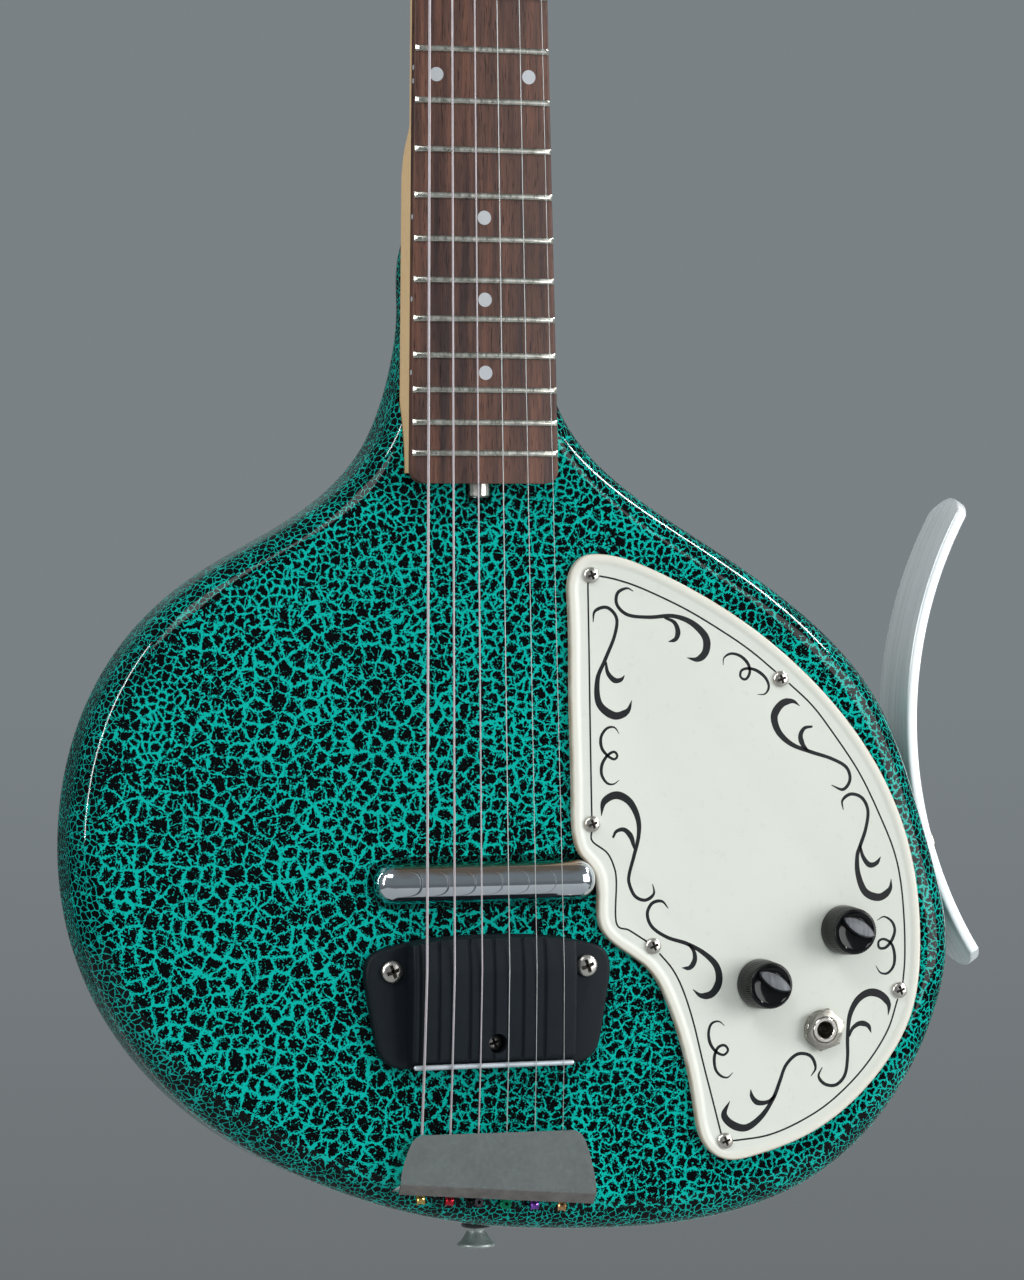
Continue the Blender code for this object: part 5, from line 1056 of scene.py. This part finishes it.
# Pickup: a polished tube closed by domed ends, over a black core
def pickup_tube():
    half, radius = PICKUP_LENGTH / 2, PICKUP_RADIUS
    turns = [math.pi / 2 * step / 16 for step in range(17)]
    low = [(radius * math.sin(turn) ** 0.9, radius - half - radius * math.cos(turn)) for turn in turns]
    place = facing((PICKUP_X, PICKUP_Y, PICKUP_Z), (1, 0, 0))
    made = turned("pickup_tube", low + [(across, -along) for across, along in reversed(low)], place, 96)
    inner = [(max(across - 0.8 * MM, 0), along * 0.98) for across, along in low]
    hollow = turned("hollow", inner + [(across, -along) for across, along in reversed(inner)], place, 48)
    slot = block(
        "slot", (PICKUP_X - 33.5 * MM, PICKUP_Y, PICKUP_Z - 4 * MM),
        (PICKUP_X + 33.5 * MM, PICKUP_Y + 8 * MM, PICKUP_Z + 4 * MM),
    )
    combine(made, [hollow, slot], "DIFFERENCE")
    finished(made, chrome_with_painted_reflection, replaces=("pickup_cover",))


pickup_tube()


# Bridge: a plate with a raised, grooved middle and a bright bar along its lower edge
BRIDGE_X = 1.15 * MM
BRIDGE_SEAT_Y = FACE_Y - GAP - 4.7 * MM
BRIDGE_HALF_OUTLINE = (
    (0, 12.5), (13, 12.2), (27, 11), (38.5, 8.6), (45, 5.6), (47, 0.5), (46.3, -8), (44.6, -18),
    (43, -26.5), (40.8, -32), (36, -35.3), (31, -35.9),
)
BRIDGE_BLOCK_PROFILE = ((11.8, 11.6), (8, 12.9), (0, 13.5), (-12, 12.8), (-24, 11.9), (-33.2, 11))
BRIDGE_GROOVES = (-28.5, -21.6, -9.8, -0.6, 10.5, 19)
STRIP_TOP_Y, STRIP_LOW_Z, STRIP_HIGH_Z = -6 * MM, -671 * MM, -669.1 * MM


def block_height(z):
    """The raised part's height over the face, rounded where it turns over the crest."""
    near = [z - 1.5, z - 0.75, z, z + 0.75, z + 1.5]
    places, heights = zip(*reversed(BRIDGE_BLOCK_PROFILE))
    return float(numpy.mean(numpy.interp(near, places, heights)))


def bridge_pieces():
    outline = list(BRIDGE_HALF_OUTLINE) + [(-x, z) for x, z in reversed(BRIDGE_HALF_OUTLINE[1:])]
    steps = [(0, FACE_Y - GAP)]
    steps += [(distance, BRIDGE_SEAT_Y + drop) for distance, drop in reversed(eased(1.4 * MM, 6))]
    plate = lofted("bridge_body", rings_at(smooth_loop(on_body(outline, BRIDGE_X), 8), steps))
    rings = []
    for z in list(numpy.linspace(11.5, -32.4, 60)) + [-32.8, -33.1, -33.2]:
        lift = block_height(z) - max(0, -32.2 - z) ** 2 * 0.7
        quarter = [(31.4 + 1.5, 1.0), (31.4 + 0.6, lift * 0.35 - 1)]
        quarter += [(31.4 - across / MM, lift - drop / MM) for across, drop in reversed(eased(1.2 * MM, 5))]
        section = quarter + [(-x, height) for x, height in reversed(quarter)]
        rings.append([(BRIDGE_X + x * MM, FACE_Y - height * MM, BRIDGE_Z + z * MM) for x, height in section])
    raised = lofted("block", rings)
    steps = [(0.3 * MM, FACE_Y + 5 * MM), (0.3 * MM, FACE_Y - 9 * MM), (1.5 * MM, FACE_Y - 20 * MM)]
    limit = rings_at(smooth_loop(on_body(outline, BRIDGE_X), 8), steps)
    combine(raised, [lofted("limit", limit)], "INTERSECT")
    combine(plate, [raised], "UNION")
    tools = []
    for place in BRIDGE_GROOVES:
        x = BRIDGE_X + place * MM
        rings = []
        for z in numpy.linspace(13, -36, 50):
            floor_y = FACE_Y - (block_height(min(max(z, -33.2), 11.5)) - 0.8) * MM
            rings.append([
                (x + across * MM, floor_y - rise * MM, BRIDGE_Z + z * MM)
                for across, rise in ((-0.2, 0), (0.2, 0), (3.6, 4), (-3.6, 4))
            ])
        tools.append(lofted("groove", rings))
    sunk_x, sunk_z = BRIDGE_X + 1 * MM, BRIDGE_Z - 27 * MM
    tools.append(rod("room", 3.6 * MM, (sunk_x, BRIDGE_SEAT_Y, sunk_z), (sunk_x, -20 * MM, sunk_z)))
    tools.append(block(
        "room", (BRIDGE_X - 31.7 * MM, STRIP_TOP_Y - 2 * MM, STRIP_LOW_Z - GAP),
        (BRIDGE_X + 31.7 * MM, STRIP_TOP_Y + 7.3 * MM, STRIP_HIGH_Z + GAP),
    ))
    for x, z in ((sunk_x, sunk_z), (BRIDGE_X - 37.4 * MM, BRIDGE_Z), (BRIDGE_X + 37.4 * MM, BRIDGE_Z)):
        tools.append(rod("hole", 2.1 * MM, (x, 10 * MM, z), (x, -10 * MM, z), 32))
    combine(plate, tools, "DIFFERENCE")
    finished(plate, matte_black, replaces=("bridge_plate",), angle=40)
    half, high = 30.8 * MM, (STRIP_HIGH_Z - STRIP_LOW_Z) / 2
    round_end = [
        (high * math.sin(turn), half - high + high * math.cos(turn))
        for turn in numpy.linspace(0, math.pi / 2, 7)
    ]
    place = facing((BRIDGE_X, STRIP_TOP_Y + high, (STRIP_LOW_Z + STRIP_HIGH_Z) / 2), (1, 0, 0))
    bar = turned("bridge_bar", [(r, -h) for r, h in round_end] + round_end[::-1], place, 32)
    finished(bar, plain_bar, replaces=("bridge_strip",))


bridge_pieces()


# Strings: ball end, tailpiece hole, strip, bridge crest, nut, and the turns on the post
STRING_RADII = (0.58, 0.46, 0.34, 0.22, 0.17, 0.14)
WIRE_SHARE = 0.86
TAIL_X, TAIL_TILT, TAIL_HOLE_Y = 1.75 * MM, 0.09, 1.7 * MM


def string_x(index, spread, middle=0.0):
    return middle + spread * MM * (index / 5 - 0.5)


def tube(name, route, radius, sides=16):
    """A round wire along a route, its rings turned as little as possible from one to the next."""
    points = [Vector(point) for point in route]
    rings, across = [], Vector((1, 0, 0))
    for i, point in enumerate(points):
        along = (points[min(i + 1, len(points) - 1)] - points[max(i - 1, 0)]).normalized()
        across = (across - along * across.dot(along)).normalized()
        beside = along.cross(across)
        turns = [2 * math.pi * step / sides for step in range(sides)]
        rings.append([point + radius * (math.cos(a) * across + math.sin(a) * beside) for a in turns])
    return lofted(name, rings)


def string_route(index):
    radius = STRING_RADII[index] * MM
    lift = radius + GAP
    tail_x, strip_x = string_x(index, 54.6, TAIL_X), string_x(index, 53.7, 0.7 * MM)
    nut_x = string_x(index, 35.1)
    crest_x = nut_x + (strip_x - nut_x) * SCALE_LENGTH / -STRIP_LOW_Z
    ball_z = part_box(f"string_{index + 1}")[0].z + 2 * MM
    route = [Vector((tail_x, TAIL_HOLE_Y, ball_z + rise * MM)) for rise in (1.35, 6.05)]
    route.append(Vector((strip_x, STRIP_TOP_Y - lift, (STRIP_LOW_Z + STRIP_HIGH_Z) / 2)))
    route.append(Vector((crest_x, FACE_Y - 13.6 * MM - lift, BRIDGE_Z)))
    route += [Vector((nut_x, -6.5 * MM, 0)), Vector((nut_x, -6.5 * MM, 4.3 * MM))]
    side, spot = posts[index] if index < 3 else posts[8 - index]
    around, pitch, steps = 3 * MM + GAP + radius, 2 * radius + 0.55 * MM, 96
    first_y = HEAD_DROP - 11.5 * MM + 3 * MM + radius
    for step in range(2 * steps + 1):
        turn = math.pi - 2 * math.pi * step / steps
        route.append(Vector((
            spot.x + side * around * math.cos(turn), first_y + pitch * step / steps,
            spot.z + around * math.sin(turn),
        )))
    return route, Vector((tail_x, TAIL_HOLE_Y, ball_z))


BALL_TURNS = (
    (1, -0.15, 0.05), (1, -0.1, -0.06), (0.2, -1, 0.1), (-0.1, -1, 0.05), (1, -0.12, 0.04),
    (0.95, -0.35, -0.1),
)


def string_piece(index):
    route, ball = string_route(index)
    number, look = index + 1, wound if index < 3 else plain
    made = tube(f"string_{number}_wire", route, WIRE_SHARE * STRING_RADII[index] * MM)
    finished(made, look, replaces=(f"string_{number}",), angle=60)
    profile = ((0.7, -1.5), (1.8, -1.5), (2, -1.3), (1.6, -0.7), (1.6, 0.7), (2, 1.3), (1.8, 1.5), (0.7, 1.5))
    profile = [(radius * MM, height * MM) for radius, height in profile]
    end = turned(f"string_{number}_ball", profile, facing(ball, BALL_TURNS[index]), 32)
    finished(end, BALL_LOOKS[index])


for index in range(6):
    string_piece(index)


def tail_lip():
    """The lower edge of the tailpiece's cover, bent back towards the body."""
    front_y, rings = FACE_Y - 9.6 * MM, []
    for share in numpy.linspace(-1, 1, 25):
        x = share * 37.4 * MM
        z = BRIDGE_Z - 80.6 * MM - TAIL_TILT * x
        across = TAIL_X + 1 * MM + x
        rings.append([
            (across, front_y - 0.05 * MM, z + 0.3 * MM), (across, front_y + 0.3 * MM, z - 0.5 * MM),
            (across, front_y + 3.2 * MM, z - 3.9 * MM), (across, front_y + 4.0 * MM, z - 3.5 * MM),
            (across, front_y + 1.1 * MM, z + 0.3 * MM),
        ])
    # The lip takes the darker sheet: painted shade.
    finished(lofted("tailpiece_lip", rings), lip_painted_shade)


tail_lip()


# Strap buttons and the washer under the lower one
BUTTON_HEIGHT_SHARE = 0.76


def strap_button(node, seat, direction, stand):
    points = (
        (0, -22), (1.8, -15), (1.8, 0), (3.7, 0), (3.9, 0.15), (3.75, 0.7), (3.45, 1.4), (3.5, 2), (4.1, 3.4),
        (5.0, 5.2), (5.9, 6.7), (6.6, 7.4), (7, 7.9), (7.1, 8.5), (7.0, 9.0), (6.8, 9.3), (6.5, 9.4),
        (3.2, 9.5), (3.04, 9.3), (3.04, 8.7),
    )
    turns = numpy.linspace(0, math.pi / 2, 7)[:-1]
    points += tuple((2.9 * math.cos(turn), 8.6 + 0.9 * math.sin(turn)) for turn in turns)
    points += ((0, 9.5),)
    profile = [(radius * MM, (stand + BUTTON_HEIGHT_SHARE * height) * MM) for radius, height in points]
    place = facing(seat, direction)
    made = turned(f"{node}_shape", profile, place, 64)
    bars = []
    for turn in (0.5, 0.5 + math.pi / 2):
        size = Matrix.Diagonal((1.8 * MM, 0.35 * MM, 1 * MM, 1))
        ring = [(-1, -1), (1, -1), (1, 1), (-1, 1)]
        rings = [[(*corner, height) for corner in ring] for height in (stand + 6.6, stand + 8.6)]
        bars.append(lofted("bar", rings, place @ Matrix.Rotation(turn, 4, "Z") @ size))
    combine(made, bars, "DIFFERENCE")
    finished(made, dull_nickel, replaces=(node,), angle=40)


BUTTON_SEAT = Vector((3.8 * MM, 27.35 * MM, -731.6 * MM))
strap_button("strap_button_end", BUTTON_SEAT, DOWN, 1.7)
strap_button("strap_button_heel", Vector((0, BACK_Y, -377 * MM)), BACK_OUT, 0.3)
profile = [(2.1, 0.2), (5.3, 0.2), (5.5, 0.5), (5.55, 0.9), (5.5, 1.2), (5.3, 1.5), (2.1, 1.5)]
profile = [(radius * MM, height * MM) for radius, height in profile]
ring = turned("felt_ring", profile, facing(BUTTON_SEAT, DOWN))
finished(ring, felt, replaces=("strap_washer_end",))


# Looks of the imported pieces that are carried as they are
SLOT_LOOKS = {
    "crackle_lacquer": lacquer, "maple": neck_wood, "rosewood": board_wood, "nut_plastic": bone,
    "steel": steel, "nickel": nickel, "chrome": chrome, "cream_plastic": cream,
    "black_gloss_plastic": gloss_black, "black_matte_plastic": matte_black,
    "brushed_aluminium": aluminium, "felt": felt, "wound_string": wound, "plain_string": plain,
}
# How far the edges are rounded in millimetres, by node or by the stem of a numbered node
SOFTENED = {
    "nut": 0.35, "tailpiece": 0.35, "tuner_plate_bass": 0.3, "tuner_plate_treble": 0.3,
    "tuner_key_": 0.4, "tuner_post_": 0.2,
}
for part in frame["record"]["subparts"]:
    made = frame["nodes"][part["node"]]
    made.data.materials.clear()
    look = tail_sheet if part["node"] == "tailpiece" else SLOT_LOOKS[part["material_slot"]]
    made.data.materials.append(look)
    made.data.shade_smooth()
    made.data.set_sharp_from_angle(angle=math.radians(32))
    softened = SOFTENED.get(part["node"], SOFTENED.get(part["node"][:-1]))
    if softened:
        step = made.modifiers.new("softened", "BEVEL")
        step.width, step.segments = softened * MM, 3
        step.limit_method, step.angle_limit = "ANGLE", math.radians(30)


# Floor, light and camera
def plain_look(name, colour, roughness):
    look = Look(name, Roughness=roughness)
    speckle = look.noise(look.place, 30, 2.0)
    look.drive("Base Color", look.mix(speckle, colour, tuple(0.98 * part for part in colour)))
    return look.made


bpy.ops.mesh.primitive_plane_add(size=1.4, location=(0, 0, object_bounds()[0][2] - 0.15))
floor = bpy.context.object
floor.name = "floor"
floor.data.materials.append(plain_look("floor_paint", (0.46, 0.48, 0.49), 0.85))


def studio_world():
    """A grey backdrop to camera, glossy and clear rays, darker to gloss in one corner behind; soft
    light from all round to all other rays."""
    world = bpy.data.worlds.new("studio")
    bpy.context.scene.world = world
    world.use_nodes = True
    world.node_tree.nodes.clear()
    tree = Nodes(world.node_tree)
    towards = tree.add("TexCoord").outputs["Generated"]
    parts = tree.add("SeparateXYZ", {0: towards}).outputs
    rays = tree.add("LightPath").outputs
    seen = tree.calc("MAXIMUM", rays["Is Camera Ray"], rays["Is Transmission Ray"])
    seen = tree.calc("MAXIMUM", seen, rays["Is Glossy Ray"])
    colour = tree.mix(tree.remap(parts[2], -0.15, -0.01), (0.150, 0.163, 0.172), (0.196, 0.220, 0.231))
    corner = tree.add("VectorMath", {0: towards, 1: (-0.5, 0.87, 0)}, operation="DOT_PRODUCT")
    corner = tree.remap(corner.outputs["Value"], 0.78, 0.95, 0, 0.85)
    dark = tree.calc("MULTIPLY", corner, rays["Is Glossy Ray"])
    backdrop = tree.add("Background", {"Color": tree.mix(dark, colour, (0.02, 0.022, 0.024))})
    front = tree.remap(parts[1], 1.0, -1.0, 0.6, 0.57)
    front = tree.calc("MULTIPLY", front, tree.remap(parts[2], -0.9, 0.4, 0.3, 1.12))
    fill = tree.add("Background", {"Color": (0.97, 0.99, 1.0, 1), "Strength": front})
    chosen = tree.add("MixShader", {0: seen, 1: fill.outputs[0], 2: backdrop.outputs[0]})
    tree.add("OutputWorld", {"Surface": chosen.outputs[0]})


def soft_light(name, place, target, size, power, upright=(0, 0, 1), shine_only=False):
    lamp = bpy.data.lights.new(name, "AREA")
    lamp.shape, lamp.size, lamp.size_y, lamp.energy = "RECTANGLE", *size, power
    back = (Vector(place) - Vector(target)).normalized()
    up = Vector(upright)
    up = (up - back * up.dot(back)).normalized()
    turn = Matrix((up.cross(back), up, back)).transposed().to_4x4()
    made = bpy.data.objects.new(name, lamp)
    made.matrix_world = Matrix.Translation(place) @ turn
    made.visible_diffuse = not shine_only
    bpy.context.scene.collection.objects.link(made)


studio_world()
middle = (0.03, 0, -0.55)
soft_light("top", (-0.9, -1.3, 1.2), middle, (1.0, 0.8), 14)
soft_light("right", (1.5, -1.22, -0.35), middle, (1.25, 1.2), 22)
soft_light("right_shine", (1.5, -1.22, -0.35), middle, (1.25, 1.2), 28, shine_only=True)
soft_light("left_strip", (-1.75, -0.7, 0.2), middle, (0.12, 1.7), 36, shine_only=True)
soft_light("right_strip", (1.52, -0.2, 0.55), middle, (0.08, 0.9), 16, (0.17, -0.58, -0.31), shine_only=True)

CAMERA_PLACE = (-0.49195, -1.5476, -0.5153)
FOCAL_PIXELS, IMAGE_HEIGHT, SENSOR_HEIGHT = 4427.9, 1280, 36
yaw, roll, pitch = math.radians(18), math.radians(-0.468), math.radians(0.026)
ahead = Vector((math.sin(yaw) * math.cos(pitch), math.cos(yaw) * math.cos(pitch), math.sin(pitch)))
level = Vector((math.cos(yaw), -math.sin(yaw), 0))
upright = level.cross(ahead)
right = level * math.cos(roll) + upright * math.sin(roll)
up = upright * math.cos(roll) - level * math.sin(roll)
lens = bpy.data.cameras.new("camera")
lens.sensor_fit, lens.sensor_height, lens.sensor_width = "VERTICAL", SENSOR_HEIGHT, SENSOR_HEIGHT
lens.lens = FOCAL_PIXELS * SENSOR_HEIGHT / IMAGE_HEIGHT
lens.clip_start, lens.clip_end = 0.05, 20
camera = bpy.data.objects.new("camera", lens)
bpy.context.scene.collection.objects.link(camera)
turn = Matrix((right, up, -ahead)).transposed().to_4x4()
camera.matrix_world = Matrix.Translation(CAMERA_PLACE) @ turn
bpy.context.scene.camera = camera
bpy.context.scene.view_settings.view_transform = "Standard"
